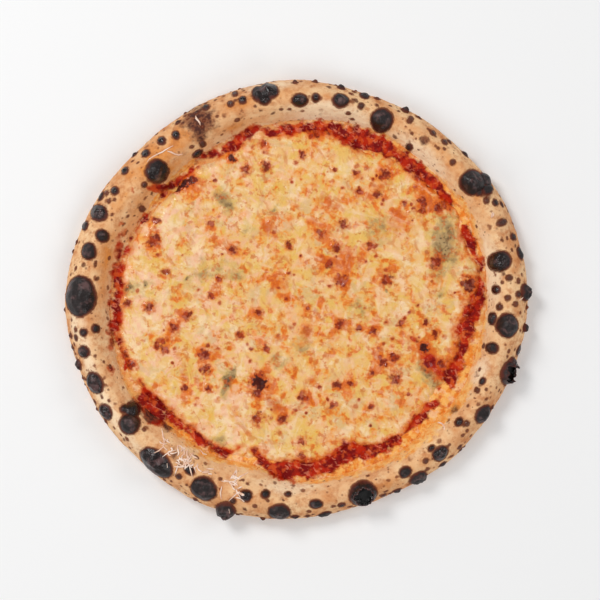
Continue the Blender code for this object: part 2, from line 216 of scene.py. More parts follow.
class Nodes:
    """Adds nodes to a tree of shader or geometry nodes."""

    def __init__(self, tree, place):
        self.tree = tree
        self.place = self.add(*place)

    def add(self, kind, settings=(), inputs=(), output=0):
        node = self.tree.nodes.new(kind)
        for name, value in dict(settings).items():
            setattr(node, name, value)
        for name, value in dict(inputs).items():
            if isinstance(value, Socket):
                self.tree.links.new(value.socket, node.inputs[name])
            else:
                node.inputs[name].default_value = value
        return Socket(self, node.outputs[output])

    def vector(self, operation, *terms, output=0):
        return self.add("ShaderNodeVectorMath", {"operation": operation}, dict(enumerate(terms)), output)

    def scaled(self, vector, factor):
        return self.add("ShaderNodeVectorMath", {"operation": "SCALE"}, {0: vector, "Scale": factor})

    def part(self, vector, axis):
        return self.add("ShaderNodeSeparateXYZ", {}, {0: vector}, axis)

    def parts(self, x, y, z):
        return self.add("ShaderNodeCombineXYZ", {}, {0: x, 1: y, 2: z})

    def mixed(self, factor, first, second):
        return self.add("ShaderNodeMix", {"data_type": "RGBA"}, {0: factor, 6: first, 7: second}, 2)

    def painted(self, colour, *layers):
        """A colour with others laid over it in turn: how much of each, from 0 to 1, and its paint."""
        for amount, over in layers:
            colour = self.mixed(amount, colour, over)
        return colour

    def shifted(self, shift):
        return self.vector("ADD", self.place, (shift, shift * 0.7, shift * 1.3)) if shift else self.place

    def cloud(self, size, detail=2, roughness=0.5, shift=0, warp=0, output=0):
        """Soft noise from 0 to 1 with features of about size mm. Each shift gives another pattern."""
        inputs = {"Vector": self.shifted(shift), "Scale": 1 / MM / size, "Detail": detail}
        inputs.update({"Roughness": roughness, "Distortion": warp})
        return self.add("ShaderNodeTexNoise", {}, inputs, output)

    def swing(self, reach, *cloud):
        """Soft noise to both sides of 0 that reaches that far in all."""
        return (self.cloud(*cloud) - 0.5) * reach

    def wander(self, size, detail, shift=0):
        """Three soft noises from -0.5 to 0.5."""
        return self.vector("SUBTRACT", self.cloud(size, detail, shift=shift, output=1), (0.5, 0.5, 0.5))

    def streaks(self, width, length, turn, shift=0):
        """Soft noise from 0 to 1 in lines of about that width and length in mm, turned by degrees."""
        inputs = {"Vector": self.shifted(shift), "Angle": math.radians(turn)}
        turned = self.add("ShaderNodeVectorRotate", {"rotation_type": "Z_AXIS"}, inputs)
        bent = self.vector("MULTIPLY_ADD", self.wander(length, 2, shift), (width * 4 * MM,) * 3, turned)
        drawn = self.vector("MULTIPLY", bent, (width / length, 1, 1))
        return self.add("ShaderNodeTexNoise", {}, {"Vector": drawn, "Scale": 1 / MM / width, "Detail": 2})

    def specks(self, size, largest, share=1, shift=0, ragged=0.5):
        """Spots in cells of about size mm: 1 in a spot's middle and 0 at its edge. The largest takes that
        share of its cell's size, and a share of the cells has one."""
        wander = self.wander(size * 0.6, 3, shift + 1)
        place = self.vector("MULTIPLY_ADD", wander, (ragged * size * MM,) * 3, self.shifted(shift))
        cells = self.add("ShaderNodeTexVoronoi", {}, {"Vector": place, "Scale": 1 / MM / size})
        chance = self.add("ShaderNodeSeparateColor", {}, {0: cells.output("Color")})
        radius = chance * largest + (1 - share) * -largest
        return (1 - cells / radius.most(0.001)).most(0) * radius.rising(0, 0.02)

    def note(self, name, kind="FLOAT"):
        """A number, or three, kept on the piece's points."""
        if self.tree.type == "SHADER":
            return self.add("ShaderNodeAttribute", {"attribute_name": name}, {}, "Fac")
        return self.add("GeometryNodeInputNamedAttribute", {"data_type": kind}, {"Name": name})


def paint(red, green, blue):
    """A colour as it looks in daylight, each part out of 255."""
    return (*(((part / 255 + 0.055) / 1.055) ** 2.4 for part in (red, green, blue)), 1)


def new_finish(name):
    material = bpy.data.materials.new(name)
    material.use_nodes = True
    nodes = Nodes(material.node_tree, ("ShaderNodeTexCoord", {}, {}, "Object"))
    return material, nodes, material.node_tree.nodes["Principled BSDF"]


def wire(nodes, shader, colour, roughness, relief, depth, **others):
    """Connects a finish: relief is a height from 0 to 1 and depth what 1 stands for, in mm."""
    bump = nodes.add("ShaderNodeBump", {}, {"Height": relief, "Distance": depth * MM, "Strength": 1})
    for name, value in {"Base Color": colour, "Roughness": roughness, "Normal": bump, **others}.items():
        socket = shader.inputs[name.replace("_", " ")]
        if isinstance(value, Socket):
            nodes.tree.links.new(value.socket, socket)
        else:
            socket.default_value = value


class Recipe:
    """A tree of geometry nodes: named sizes go in, and the piece's new mesh comes out."""

    KINDS = {float: "NodeSocketFloat", bpy.types.Object: "NodeSocketObject"}

    def __init__(self, name, **sizes):
        self.tree = bpy.data.node_groups.new(name, "GeometryNodeTree")
        self.sizes = sizes
        kinds = {label: self.KINDS[type(value)] for label, value in sizes.items()}
        for label, kind in {"Geometry": "NodeSocketGeometry", **kinds}.items():
            self.tree.interface.new_socket(label, in_out="INPUT", socket_type=kind)
        self.tree.interface.new_socket("Geometry", in_out="OUTPUT", socket_type="NodeSocketGeometry")
        self.nodes = Nodes(self.tree, ("GeometryNodeInputPosition", {}, {}))
        self.given = self.tree.nodes.new("NodeGroupInput")

    def size(self, label):
        return Socket(self.nodes, self.given.outputs[label])

    def joined(self, *meshes):
        """Several meshes as one."""
        both = self.nodes.add("GeometryNodeJoinGeometry")
        for mesh in reversed(meshes):
            self.tree.links.new(mesh.socket, both.socket.node.inputs[0])
        return both

    def finished(self, label):
        """The mesh of a finished piece."""
        return self.nodes.add("GeometryNodeObjectInfo", {}, {"Object": self.size(label)}, "Geometry")

    def apply(self, piece, last, finish):
        """Ends the tree, runs it on the piece and leaves a plain mesh."""
        real = self.nodes.add("GeometryNodeRealizeInstances", {}, {0: last})
        smooth = self.nodes.add("GeometryNodeSetShadeSmooth", {}, {0: real})
        painted = self.nodes.add("GeometryNodeSetMaterial", {}, {0: smooth, "Material": finish})
        self.tree.links.new(painted.socket, self.tree.nodes.new("NodeGroupOutput").inputs[0])
        modifier = piece.modifiers.new("Make", "NODES")
        modifier.node_group = self.tree
        for item in self.tree.interface.items_tree:
            if item.in_out == "INPUT" and item.name in self.sizes:
                modifier[item.identifier] = self.sizes[item.name]
        evaluated = piece.evaluated_get(bpy.context.evaluated_depsgraph_get())
        made = bpy.data.meshes.new_from_object(evaluated)
        piece.modifiers.clear()
        piece.data = made


def raised(nodes, mesh, height, direction=None):
    """Moves the mesh's points by a height in mm, along their normals or a direction."""
    offset = nodes.scaled(direction or nodes.add("GeometryNodeInputNormal"), height * MM)
    return nodes.add("GeometryNodeSetPosition", {}, {0: mesh, "Offset": offset})


def kept(nodes, mesh, name, value, kind="FLOAT"):
    inputs = {0: mesh, "Name": name, "Value": value}
    return nodes.add("GeometryNodeStoreNamedAttribute", {"data_type": kind}, inputs)


def points_of(piece):
    points = np.empty(len(piece.data.vertices) * 3)
    piece.data.vertices.foreach_get("co", points)
    return points.reshape(-1, 3).T / MM


def within(x, y, middle_x, middle_y, length, width, turn):
    """How far in an oval each point lies: 1 in its middle, 0 on its outline and below 0 outside."""
    lean = np.exp(-1j * math.radians(turn)) * (x - middle_x + 1j * (y - middle_y))
    return 1 - np.hypot(lean.real / (length / 2), lean.imag / (width / 2))


def note_sauce(piece):
    """Keeps on a piece's points how deep in the bare sauce they lie, in mm, below 0 outside it."""
    x, y, _ = points_of(piece)
    turns, out = np.arctan2(y, x), np.hypot(x, y)
    deep = np.minimum(out - around(SAUCE_FROM, turns) / MM, around(SAUCE_TO, turns) / MM - out)
    for *oval, shown in SAUCE_POOLS:
        inside = within(x, y, *oval) * oval[3] / 2
        deep = np.maximum(deep, inside) if shown > 0 else np.minimum(deep, -inside)
    note_on(piece, in_sauce=deep.clip(-20, 20))


def bare_sauce(nodes):
    """How deep inside the uneven ring of bare sauce a place lies, in mm, and the sauce's paint there: dark
    juice, red flesh, and pale pink streaks that are pulp with painted glints on it. Both only change across
    the pizza, so they run on from piece to piece."""
    upright, nodes.place = nodes.place, nodes.vector("MULTIPLY", nodes.place, (1, 1, 0))
    deep = nodes.note("in_sauce") + nodes.swing(12, 9, 3, 0.5, 47) + nodes.swing(5, 4, 2, 0.5, 48)
    colour = nodes.painted(
        paint(118, 2, 0),
        (nodes.cloud(8, 3, 0.5, 40).rising(0.42, 0.6), paint(182, 36, 0)),
        (nodes.cloud(5, 3, 0.5, 44).rising(0.5, 0.64) * 0.75, paint(214, 86, 30)),
        # Pale pink streaks: pulp, with painted glints of the wet sauce.
        (nodes.streaks(2.2, 6, 30, 49).rising(0.56, 0.68) * 0.5, paint(232, 136, 104)),
    )
    nodes.place = upright
    return deep, colour


def patches(piece, spots):
    """The strength of the strongest patch at each point of the piece, fading to 0 at a patch's edge."""
    x, y, _ = points_of(piece)
    out, turn = np.hypot(x, y), np.arctan2(y, x)
    most = np.zeros(len(x))
    for at_turn, at_out, wide, long, strength in spots:
        along = at_out * ((turn - math.radians(at_turn) + math.pi) % math.tau - math.pi) / (wide / 2)
        most = np.maximum(most, strength * np.clip(1 - np.hypot(along, (out - at_out) / (long / 2)), 0, 1))
    return most


def make_dough():
    turns = np.linspace(0, math.tau, DOUGH_STEPS, endpoint=False)
    foot, edge = around(RIM_FOOT, turns), around(RIM_EDGE, turns)
    width = edge - foot
    share, height = along_section(RIM_SECTION, SECTION_STEPS)
    rim_out = foot + share[:, None] * width
    rim_places = [
        [Vector((out * math.cos(turn), out * math.sin(turn), 0)) for out, turn in zip(row, turns)]
        for row in rim_out
    ]
    swelling = [[noise.noise(at / (DOUGH_SWELLING_LENGTH * MM)) for at in row] for row in rim_places]
    lift = DOUGH_SWELLING * np.array(swelling) + np.sqrt(width / (RIM_EVEN_WIDTH * MM)) - 1
    rim_up = height[:, None] * MM * (1 + np.minimum(1, share / RIM_EVEN_SHARE)[:, None] * lift)
    floor, table = np.zeros((len(FLOOR_RINGS), len(turns))), np.zeros((len(TABLE_RINGS), len(turns)))
    distances = np.vstack([FLOOR_RINGS[:, None] * foot, rim_out, TABLE_RINGS[:, None] * rim_out[-1]])
    heights = np.vstack([floor + BASE_THICKNESS * MM, rim_up, table])
    dough = ringed_piece("dough", distances, heights, turns)
    row = np.arange(len(distances))[:, None] + 0 * turns - len(floor)
    across = np.clip(row / (len(share) - 1), 0, 1)
    from_foot = np.vstack([floor, share[:, None] * width, table + 1]) / MM
    oil = np.clip(1 - from_foot / (around(OIL_REACH, turns) / MM), 0, 1)
    note_on(dough, across=across, airy=np.interp(across, *zip(*AIRY)))
    note_on(dough, oil=oil * (row < INWARD_STEPS), under=row >= len(share) - UNDER_STEPS)
    note_on(dough, smear=patches(dough, SCORCHED_PATCHES))
    note_on(dough, floured=patches(dough, FLOUR_AND_LIGHT_PATCHES), toasted=patches(dough, TOASTED_PATCHES))
    note_sauce(dough)
    return dough


dough = make_dough()
baked_dough, nodes, shader = new_finish("baked_dough")
across, oil, scorch, under = map(nodes.note, ("across", "oil", "scorch", "under"))
smear, floured, browner = map(nodes.note, ("smear", "floured", "toasted"))
crest = across.rising(0.1, 0.45)
golden = nodes.cloud(24, 3).rising(0.4, 0.6) * 0.5 + nodes.cloud(8, 5, 0.6, 3).rising(0.38, 0.64) * 0.4
golden = golden * (crest * 0.6 + 0.4) + browner * 0.6
flour = nodes.cloud(12, 6, 0.65, 11).rising(0.46, 0.62) * (1 - crest * 0.4) * (1 - browner)
toasted = nodes.cloud(7, 5, 0.65, 12).rising(0.5, 0.66) * (crest * 0.7 + 0.2)
# Flour on the rim, and painted light where the pale patches brighten the inner slope.
dusted_and_lit = (floured + nodes.swing(0.8, 6, 4, 0.6, 35) - 0.1).rising(0, 0.8)
mottled = nodes.cloud(3.6, 4, 0.6, 38).rising(0.5, 0.68) * (crest * 0.5 + 0.5)
freckles = nodes.specks(6.5, 0.46, 0.9, 2, 0.45).rising(0, 0.6)
freckles = freckles.most(nodes.specks(3.4, 0.52, 0.9, 5, 0.45).rising(0, 0.8) * 0.8)
freckles = freckles * nodes.cloud(13, 3, shift=6).rising(0.36, 0.52)
spots = nodes.specks(9, 0.4, 0.7, 8, 0.45).rising(0, 0.6)
oily = (oil + nodes.cloud(8, 5, 0.65, 7) * 2 - 1.2).rising(0, 0.35) * oil.rising(0, 0.15) * (1 - dusted_and_lit * 0.9)
thin_oil = nodes.cloud(4.5, 4, 0.6, 36).rising(0.4, 0.6) * (1 - oil * 0.5)
red_oil = nodes.specks(6, 0.4, 0.5, 37, 0.9).rising(0, 0.5) * oily
in_sauce, tomato_paint = bare_sauce(nodes)
burnt = (smear * 1.7 + nodes.swing(2.6, 7, 5, 0.62, 13)).rising(0.1, 1.3) * smear.rising(0, 0.25)
charred = burnt * nodes.cloud(3.2, 4, 0.6, 14).rising(0.42, 0.58)
halo = (scorch + nodes.cloud(2.4, 3, 0.6, 17) * 0.7 - 0.35).rising(0.25, 0.85)
colour = nodes.painted(
    paint(246, 199, 148),
    (golden, nodes.mixed(browner, paint(216, 142, 86), paint(230, 148, 70))),
    (flour * 0.6, paint(248, 218, 172)),
    (toasted * 0.7, paint(190, 112, 60)),
    # pale flour, and painted light on the inner slope
    (dusted_and_lit * 0.88, paint(255, 227, 190)),
    (mottled * 0.5, paint(200, 124, 74)),
    (freckles * 0.85, paint(128, 62, 32)),
    (spots * 0.85, paint(92, 40, 22)),
    (oily * 0.9, nodes.mixed(thin_oil, paint(242, 152, 58), paint(255, 212, 134))),
    (red_oil * 0.8, paint(186, 66, 14)),
    (in_sauce.rising(-1.6, 0) * 0.7, paint(208, 92, 28)),
    (in_sauce.rising(-1.2, 1.4), tomato_paint),
    (burnt * 0.9, paint(122, 68, 46)),
    (charred * 0.9, paint(70, 36, 32)),
    (halo * 0.9, paint(104, 46, 24)),
)
oven_spots = nodes.specks(16, 0.55, 0.8, 19, 0.9).rising(0.05, 0.5)
oven_spots = oven_spots.most(nodes.specks(7, 0.5, 0.6, 23, 0.8).rising(0, 0.6))
underside = nodes.painted(
    paint(228, 196, 158),
    (nodes.cloud(20, 5, 0.6, 29).rising(0.35, 0.65), paint(206, 158, 108)),
    (oven_spots * 0.9, paint(92, 54, 36)),
)
relief = nodes.cloud(1.6, 4, 0.6) * 0.6 + nodes.cloud(5, 3, shift=31) * 0.4
colour = nodes.mixed(under, colour, underside)
wire(nodes, shader, colour, 0.75 - oily * 0.35, relief, 0.6, Specular_IOR_Level=0.18)

sizes = {"Lump height": 1.3, "Pore height": 0.3, "Wrinkle depth": 3.0}
recipe = Recipe("swell_dough", **sizes)
nodes, size = recipe.nodes, recipe.size
off_table = nodes.part(nodes.place, "Z").rising(FLAT_UP_TO * MM, UNEVEN_FROM * MM)
lumps = nodes.swing(size("Lump height") * 2, 16, 4, 0.55)
pores = nodes.swing(size("Pore height") * 2, 3.2, 3, 0.5, 3)
creases = abs(nodes.cloud(4.5, 2, shift=5, warp=0.8) - 0.5) * nodes.note("oil").rising(0.05, 0.5)
relief = lumps + pores - creases * size("Wrinkle depth")
recipe.apply(dough, raised(nodes, size("Geometry"), relief * off_table), baked_dough)

# ------------------------------------------------------------------------------------------------
# Scorched bubbles. Gas under the skin of the rim blew up into thin domes, which the oven's heat turned
# to charcoal, dull black with a painted grey sheen on top and red-brown where they run into the dough.
# Two of them burst, and the inside of each hole is painted near-black for the shade in it. Listed ones
# stand where they can be seen; small ones fall by chance between them.

# Degrees round from +X, distance from the middle, width along the rim and across it, in mm.
BUBBLES = (
    (0.6, 137.6, 4, 4), (1.5, 145, 4.5, 4), (359, 143, 3.5, 3.5), (3, 130.5, 6, 5.5), (6, 139.5, 4, 4.5),
    (11, 135, 14.5, 16), (16.5, 148, 5, 4.5), (21, 143.5, 4.5, 8), (34.3, 138.5, 18, 18),
    (33, 147.5, 12, 7), (30.6, 144.5, 8, 9), (31, 138.5, 5, 6), (28, 140, 4, 4), (26.5, 145, 5, 4),
    (42, 136.5, 4, 4), (47.5, 142.5, 4.5, 3.5), (51.5, 142, 4.5, 3.5), (54.5, 125.5, 5, 4.5),
    (58.5, 140.5, 4, 6), (65.5, 131.5, 16, 16.5), (72.5, 143, 7, 5), (72.5, 135, 4.5, 4.5),
    (78.5, 135, 12, 10), (85.5, 134.5, 5.5, 6), (90, 132.5, 11.5, 9), (98.8, 140, 16, 12),
    (101.4, 139.5, 9, 12), (100, 135, 9, 8), (106, 138, 6, 5.5), (107.5, 144, 4.5, 4.5),
    (109.5, 138, 4.5, 4.5), (116, 142.5, 5.5, 4.5), (122, 122.5, 4.5, 4.5), (125, 119.5, 8.5, 3.5),
    (127, 137, 5.5, 6.5), (131, 140, 6, 6), (136.5, 141.5, 6.5, 5.5), (138, 127.5, 16.5, 15.5),
    (143.5, 144.5, 6, 5.5), (149.5, 142.5, 6, 6), (150, 121.5, 4, 4), (151, 147, 3.5, 3.5),
    (156.5, 145.5, 11.5, 13.5), (161, 151.5, 6.5, 5), (162, 137.5, 8.5, 9.5), (167, 143.5, 12.5, 10.5),
    (179, 146, 29, 22.5), (188.5, 145, 5.5, 5.5), (188, 137, 6, 5.5), (193.5, 147.5, 9, 8.5),
    (202, 147, 17, 11.5), (210, 149, 12, 8.5), (216, 139.5, 15, 15), (213.3, 133, 11, 11),
    (211.8, 137, 6, 6), (228.5, 144, 28, 16.5), (237, 134.5, 7.5, 6), (235.5, 142, 4.5, 3.5),
    (243, 140.5, 19.5, 16.5), (251.5, 140.5, 4.5, 4), (254.5, 134.5, 9, 8.5), (260, 130.5, 6, 6),
    (264.5, 141.5, 16, 11.5), (266.5, 129, 5, 3.5), (274.5, 136, 9.5, 6.5), (281.5, 139, 5, 3),
    (288, 135.5, 20, 18), (301.5, 134, 9.5, 7.5), (303.5, 142.5, 13.5, 9), (308, 135.5, 4, 3.5),
    (312.5, 138, 12.5, 9.5), (311.5, 131.5, 5.5, 4), (322.5, 133, 7, 5.5), (323.5, 137.5, 4, 4),
    (328, 143.5, 14.5, 10.5), (333, 132, 4, 3.5), (336, 132.5, 5.5, 4), (341, 147.5, 19, 13),
    (346, 131.5, 8, 8.5), (353, 138.5, 17, 16), (354.5, 128.5, 9, 5.5), (358, 132.5, 4.5, 4.5),
)
# On the rim's side: degrees, height above the table, width and how far they stand out, in mm.
SIDE_BUBBLES = (
    (2, 12, 12, 5), (12, 11, 9, 2.2), (41.5, 9, 6, 1.6), (57, 10, 4, 1.2), (61, 10, 6, 3.4),
    (69, 9, 4, 1.5), (79, 11, 5.5, 2.8), (86, 9, 4, 2), (91.3, 12, 4, 2.6), (138.6, 10, 5, 1.6),
    (152.5, 12, 7, 1.6), (188.8, 11, 4, 1.6), (191.8, 9, 4, 1.4), (196.3, 10, 8, 3), (199.7, 9, 3, 1.5),
    (206.4, 10, 4, 1), (242.3, 11, 4, 1.5), (250.5, 13, 14, 7.5), (260.3, 9, 4, 2), (268.7, 12, 5.5, 1.6),
    (276.5, 9, 9, 2), (293.2, 10, 4, 1.2), (297, 9, 6, 2.3), (311, 10, 6, 1.4), (317, 9, 4, 1),
    (330.7, 10, 4, 1.4), (343.7, 14, 7, 4), (347, 9, 8, 1.6), (353, 10, 6, 4), (358.2, 9, 3, 2),
)
BUBBLE_RISE, BUBBLE_LEAST_RISE, BUBBLE_MOST_RISE, BUBBLE_SUNK = 0.26, 0.4, 4.2, 0.35
BURST_BUBBLES, BURST_RISE = ((288, 135.5), (341, 147.5)), 6
# How far a bubble reaches to each side, as a share of its listed width, and half its skin's thickness in mm.
BUBBLE_HALF, SIDE_BUBBLE_HALF, SKIN_HALF = 0.47, 0.4, 0.05
# A skin's points are laid on the dough from this far out, in mm, after they wander by this share of the
# bubble's width and by this many mm at most. They rise to a dome of this power, with lumps of this height.
HELD_OFF, BUBBLE_WANDER, BUBBLE_MOST_WANDER, DOME_POWER, BUBBLE_LUMPS = 25, 0.4, 2.4, 1.4, 1.4
# A burst bubble's hole, measured in the bubble's radius: its middle, how uneven it is, and where its rim is.
HOLE_AT, HOLE_UNEVEN, HOLE_RIM = (-0.02, 0.08, 1), 1.1, (0.4, 0.95)
BURST_ROUNDS, BUBBLE_ROUNDS, SMALL_ROUNDS = 5, 4, 2  # how finely their domes are divided
# From how far above and beside the pizza things drop on to it, and how far they fall at most, in metres.
ABOVE_RIM, BESIDE_RIM, LONGEST_FALL = 0.1, 0.3, 0.5

places, aims, halves, rises = [], [], [], []
for degrees, out, wide, long in BUBBLES:
    turn = math.radians(degrees)
    places.append((out * MM * math.cos(turn), out * MM * math.sin(turn), ABOVE_RIM))
    aims.append((0, 0, -1))
    halves.append((long * BUBBLE_HALF * MM, wide * BUBBLE_HALF * MM, SKIN_HALF * MM))
    rise = min(BUBBLE_MOST_RISE, BUBBLE_RISE * (wide + long) / 2 + BUBBLE_LEAST_RISE)
    rises.append(BURST_RISE if (degrees, out) in BURST_BUBBLES else rise)
for degrees, height, wide, rise in SIDE_BUBBLES:
    turn = math.radians(degrees)
    places.append((BESIDE_RIM * math.cos(turn), BESIDE_RIM * math.sin(turn), height * MM))
    aims.append((-math.cos(turn), -math.sin(turn), 0))
    halves.append((wide * SIDE_BUBBLE_HALF * MM, wide / 2 * MM, SKIN_HALF * MM))
    rises.append(rise)
bubbles = new_piece("scorched_bubbles", places)
burst = [(degrees, out) in BURST_BUBBLES for degrees, out, _, _ in BUBBLES]
note_on(bubbles, aim=aims, halves=halves, rise=rises, burst=burst)

charcoal, nodes, shader = new_finish("charcoal")
inside, crater = nodes.note("inside"), nodes.note("crater")
half_wide = nodes.part(nodes.note("halves").output("Vector"), "Y") / MM
# Grey painted sheen on the tops of the domes, standing in for their highlight.
painted_sheen = nodes.cloud(6, 4, 0.55).rising(0.46, 0.68) * inside.rising(0.8, 3)
edge = 1 - (inside + nodes.swing(3, 3, 4, 0.6, 5)).rising(0, 1.5)
colour = nodes.painted(
    paint(22, 7, 6),
    (painted_sheen * 0.5, paint(128, 92, 90)),
    (edge * 0.9, paint(92, 34, 18)),
    ((1 - inside.rising(0, 0.5)) * 0.6, paint(120, 56, 30)),
    ((1 - half_wide.rising(1.2, 2.6)) * 0.8, paint(132, 70, 40)),
    (crater.rising(0.02, 0.2), nodes.mixed(
        nodes.cloud(3, 3, 0.6, 6).rising(0.42, 0.58), paint(74, 20, 8), paint(62, 40, 38)
    )),
    # painted shade: the inside of a burst hole painted near-black for the shadow in the hollow
    (crater.rising(0.2, 0.5), paint(3, 2, 2)),
)
relief = nodes.cloud(4.5, 3, 0.55, 9) * 0.8 + nodes.cloud(1.2, 2, 0.5, 10) * 0.15
dull = nodes.cloud(40, 1, 0.5, 12).rising(0.44, 0.56) * 0.24
rough = dull + 0.26 + edge * 0.35 + crater.rising(0.5, 0.8) * 0.4
wire(nodes, shader, colour, rough, relief, 1.1, Specular_IOR_Level=0.42)


def met(nodes, target, direction, reach, start=None):
    """Where rays from the points, or from a start, first meet a mesh."""
    inputs = {"Target Geometry": target, "Ray Direction": direction, "Ray Length": reach}
    if start:
        inputs["Source Position"] = start
    return nodes.add("GeometryNodeRaycast", {}, inputs, "Hit Position")


def nearest(nodes, target, output):
    return nodes.add("GeometryNodeProximity", {"target_element": "FACES"}, {0: target}, output)


def blisters(nodes, points, on_dough, rounds):
    """A blister for each point: a dome laid on the dough along the point's aim, with lumps in its skin, an
    uneven outline and, where its gas burst out, a torn hole."""
    ball = nodes.add("GeometryNodeMeshIcoSphere", {}, {"Radius": 1, "Subdivisions": rounds})
    ball = kept(nodes, ball, "local", nodes.place, "FLOAT_VECTOR")
    lean, halves = nodes.note("lean", "FLOAT_VECTOR"), nodes.note("halves", "FLOAT_VECTOR")
    down = nodes.note("aim", "FLOAT_VECTOR")
    inputs = {"Vector": nodes.vector("MULTIPLY", down, (-1, -1, -1))}
    upright = nodes.add("FunctionNodeAlignRotationToVector", {"axis": "Z"}, inputs)
    inputs = {0: upright, "Vector": nodes.vector("MULTIPLY_ADD", nodes.place, (1, 1, 0), (0, 0, 0.02))}
    turned = nodes.add("FunctionNodeAlignRotationToVector", {"axis": "X", "pivot_axis": "Z"}, inputs)
    inputs = {"Points": points, "Instance": ball, "Rotation": turned, "Scale": halves}
    mesh = nodes.add("GeometryNodeInstanceOnPoints", {}, inputs)
    mesh = nodes.add("GeometryNodeRealizeInstances", {}, {0: mesh})
    local, width = nodes.note("local", "FLOAT_VECTOR"), nodes.part(halves, "Y") / MM
    up = nodes.part(local, "Z")
    from_middle = nodes.vector("LENGTH", nodes.vector("MULTIPLY", local, (1, 1, 0)), output="Value")
    mesh = kept(nodes, mesh, "inside", (1 - from_middle).most(0) * width)
    from_hole = nodes.vector("DISTANCE", local, HOLE_AT, output="Value")
    from_hole = from_hole + nodes.swing(HOLE_UNEVEN, 5, 3, 0.5, 21)
    mesh = kept(nodes, mesh, "crater", nodes.note("burst") * (1 - from_hole.rising(*HOLE_RIM)))
    wander = nodes.scaled(nodes.wander(8, 3, 2), (width * BUBBLE_WANDER).least(BUBBLE_MOST_WANDER) * MM)
    place = nodes.vector("ADD", nodes.place, wander)
    above = nodes.vector("MULTIPLY_ADD", down, (-HELD_OFF * MM,) * 3, place)
    hit = met(nodes, on_dough, down, 2 * HELD_OFF * MM, above)
    inputs = {0: hit.output("Is Hit"), "False": nearest(nodes, on_dough, "Position"), "True": hit}
    on_it = nodes.add("GeometryNodeSwitch", {"input_type": "VECTOR"}, inputs)
    mesh = nodes.add("GeometryNodeSetPosition", {}, {0: mesh, "Position": on_it})
    torn = nodes.note("crater")
    lip = torn.rising(0, 0.25) * (1 - torn.rising(0.25, 0.5)) * 0.25
    lumps = nodes.swing(BUBBLE_LUMPS, 5, 3, 0.5, 7) + 1
    high = nodes.note("rise") * up.most(0) ** DOME_POWER * lumps * (1 + lip - torn.rising(0.3, 0.7) * 0.8)
    return raised(nodes, mesh, high + up.least(0) - BUBBLE_SUNK, lean)


sizes = {"Seeded apart": 3.4, "Seeded in a square metre": 16000.0, "Clear of the listed": 1.6}
sizes.update({"Least half": 0.6, "Half grows by": 1.3, "Longer": 1.15, "Rise": 0.6, "Least rise": 0.3})
recipe = Recipe("raise_bubbles", Dough=dough, **sizes)
nodes, size = recipe.nodes, recipe.size
on_dough = recipe.finished("Dough")
hit = met(nodes, on_dough, nodes.note("aim", "FLOAT_VECTOR"), LONGEST_FALL)
points = nodes.add("GeometryNodeMeshToPoints", {}, {0: size("Geometry")})
points = kept(nodes, points, "lean", hit.output("Hit Normal"), "FLOAT_VECTOR")
points = nodes.add("GeometryNodeSetPosition", {}, {0: points, "Position": hit})
inputs = {0: points, "Selection": nodes.note("burst")}
split = nodes.add("GeometryNodeSeparateGeometry", {"domain": "POINT"}, inputs)
whole = blisters(nodes, split.output("Inverted"), on_dough, BUBBLE_ROUNDS)
listed = recipe.joined(blisters(nodes, split, on_dough, BURST_ROUNDS), whole)

inputs = {0: on_dough, "Seed": 5, "Distance Min": size("Seeded apart") * MM}
inputs.update({"Density Factor": nodes.note("airy"), "Density Max": size("Seeded in a square metre")})
small = nodes.add("GeometryNodeDistributePointsOnFaces", {"distribute_method": "POISSON"}, inputs)
small = kept(nodes, small, "lean", small.output("Normal"), "FLOAT_VECTOR")
inwards = nodes.vector("MULTIPLY", nodes.note("lean", "FLOAT_VECTOR"), (-1, -1, -1))
small = kept(nodes, small, "aim", inwards, "FLOAT_VECTOR")
touching = nearest(nodes, listed, "Distance") < size("Clear of the listed") * MM
small = nodes.add("GeometryNodeDeleteGeometry", {"domain": "POINT"}, {0: small, "Selection": touching})
chance = nodes.add("FunctionNodeRandomValue", {}, {"Seed": 11}, 1)
half = chance * chance * chance * size("Half grows by") + size("Least half")
halves = nodes.parts(half * MM, half * size("Longer") * MM, SKIN_HALF * MM)
small = kept(nodes, small, "halves", halves, "FLOAT_VECTOR")
small = kept(nodes, small, "rise", half * size("Rise") + size("Least rise"))
recipe.apply(bubbles, recipe.joined(listed, blisters(nodes, small, on_dough, SMALL_ROUNDS)), charcoal)

recipe = Recipe("scorch_round_bubbles", Bubbles=bubbles, Reach=1.6)
nodes, size = recipe.nodes, recipe.size
near = nearest(nodes, recipe.finished("Bubbles"), "Distance")
scorched = kept(nodes, size("Geometry"), "scorch", (1 - near / (size("Reach") * MM)).most(0))
recipe.apply(dough, scorched, baked_dough)

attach(dough, "root")
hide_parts("crust")
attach(bubbles, "root")

# ------------------------------------------------------------------------------------------------
# Tomato sauce. Crushed tomato with bits of pulp in it, ladled on and spread to just short of the rim,
# and cooked on to the dough. It shows where the cheese stops: wet, deep red, with oil on its edge.

CLEARANCE = 0.3
SAUCE_THICKNESS, SAUCE_GAP_TO_FOOT, SAUCE_MEETS_RIM = 1.6, 0.6, 2
SAUCE_STEPS = 720
# The rings of its skin and of its underside, as shares of the way out.
SKIN_RINGS = np.concatenate([np.linspace(0.1, 0.8, 8), np.linspace(0.82, 1, 34)])
UNDER_RINGS = np.array([1, 0.9, 0.5])
# Where the pulp shows, by rings of the skin, and how much.
PULPY = ((6, 0), (12, 1), (39, 1), (41, 0))
# How far oil reaches up the rim, in mm, where the sauce's edge is oily all over.
OILY_REACH = 8


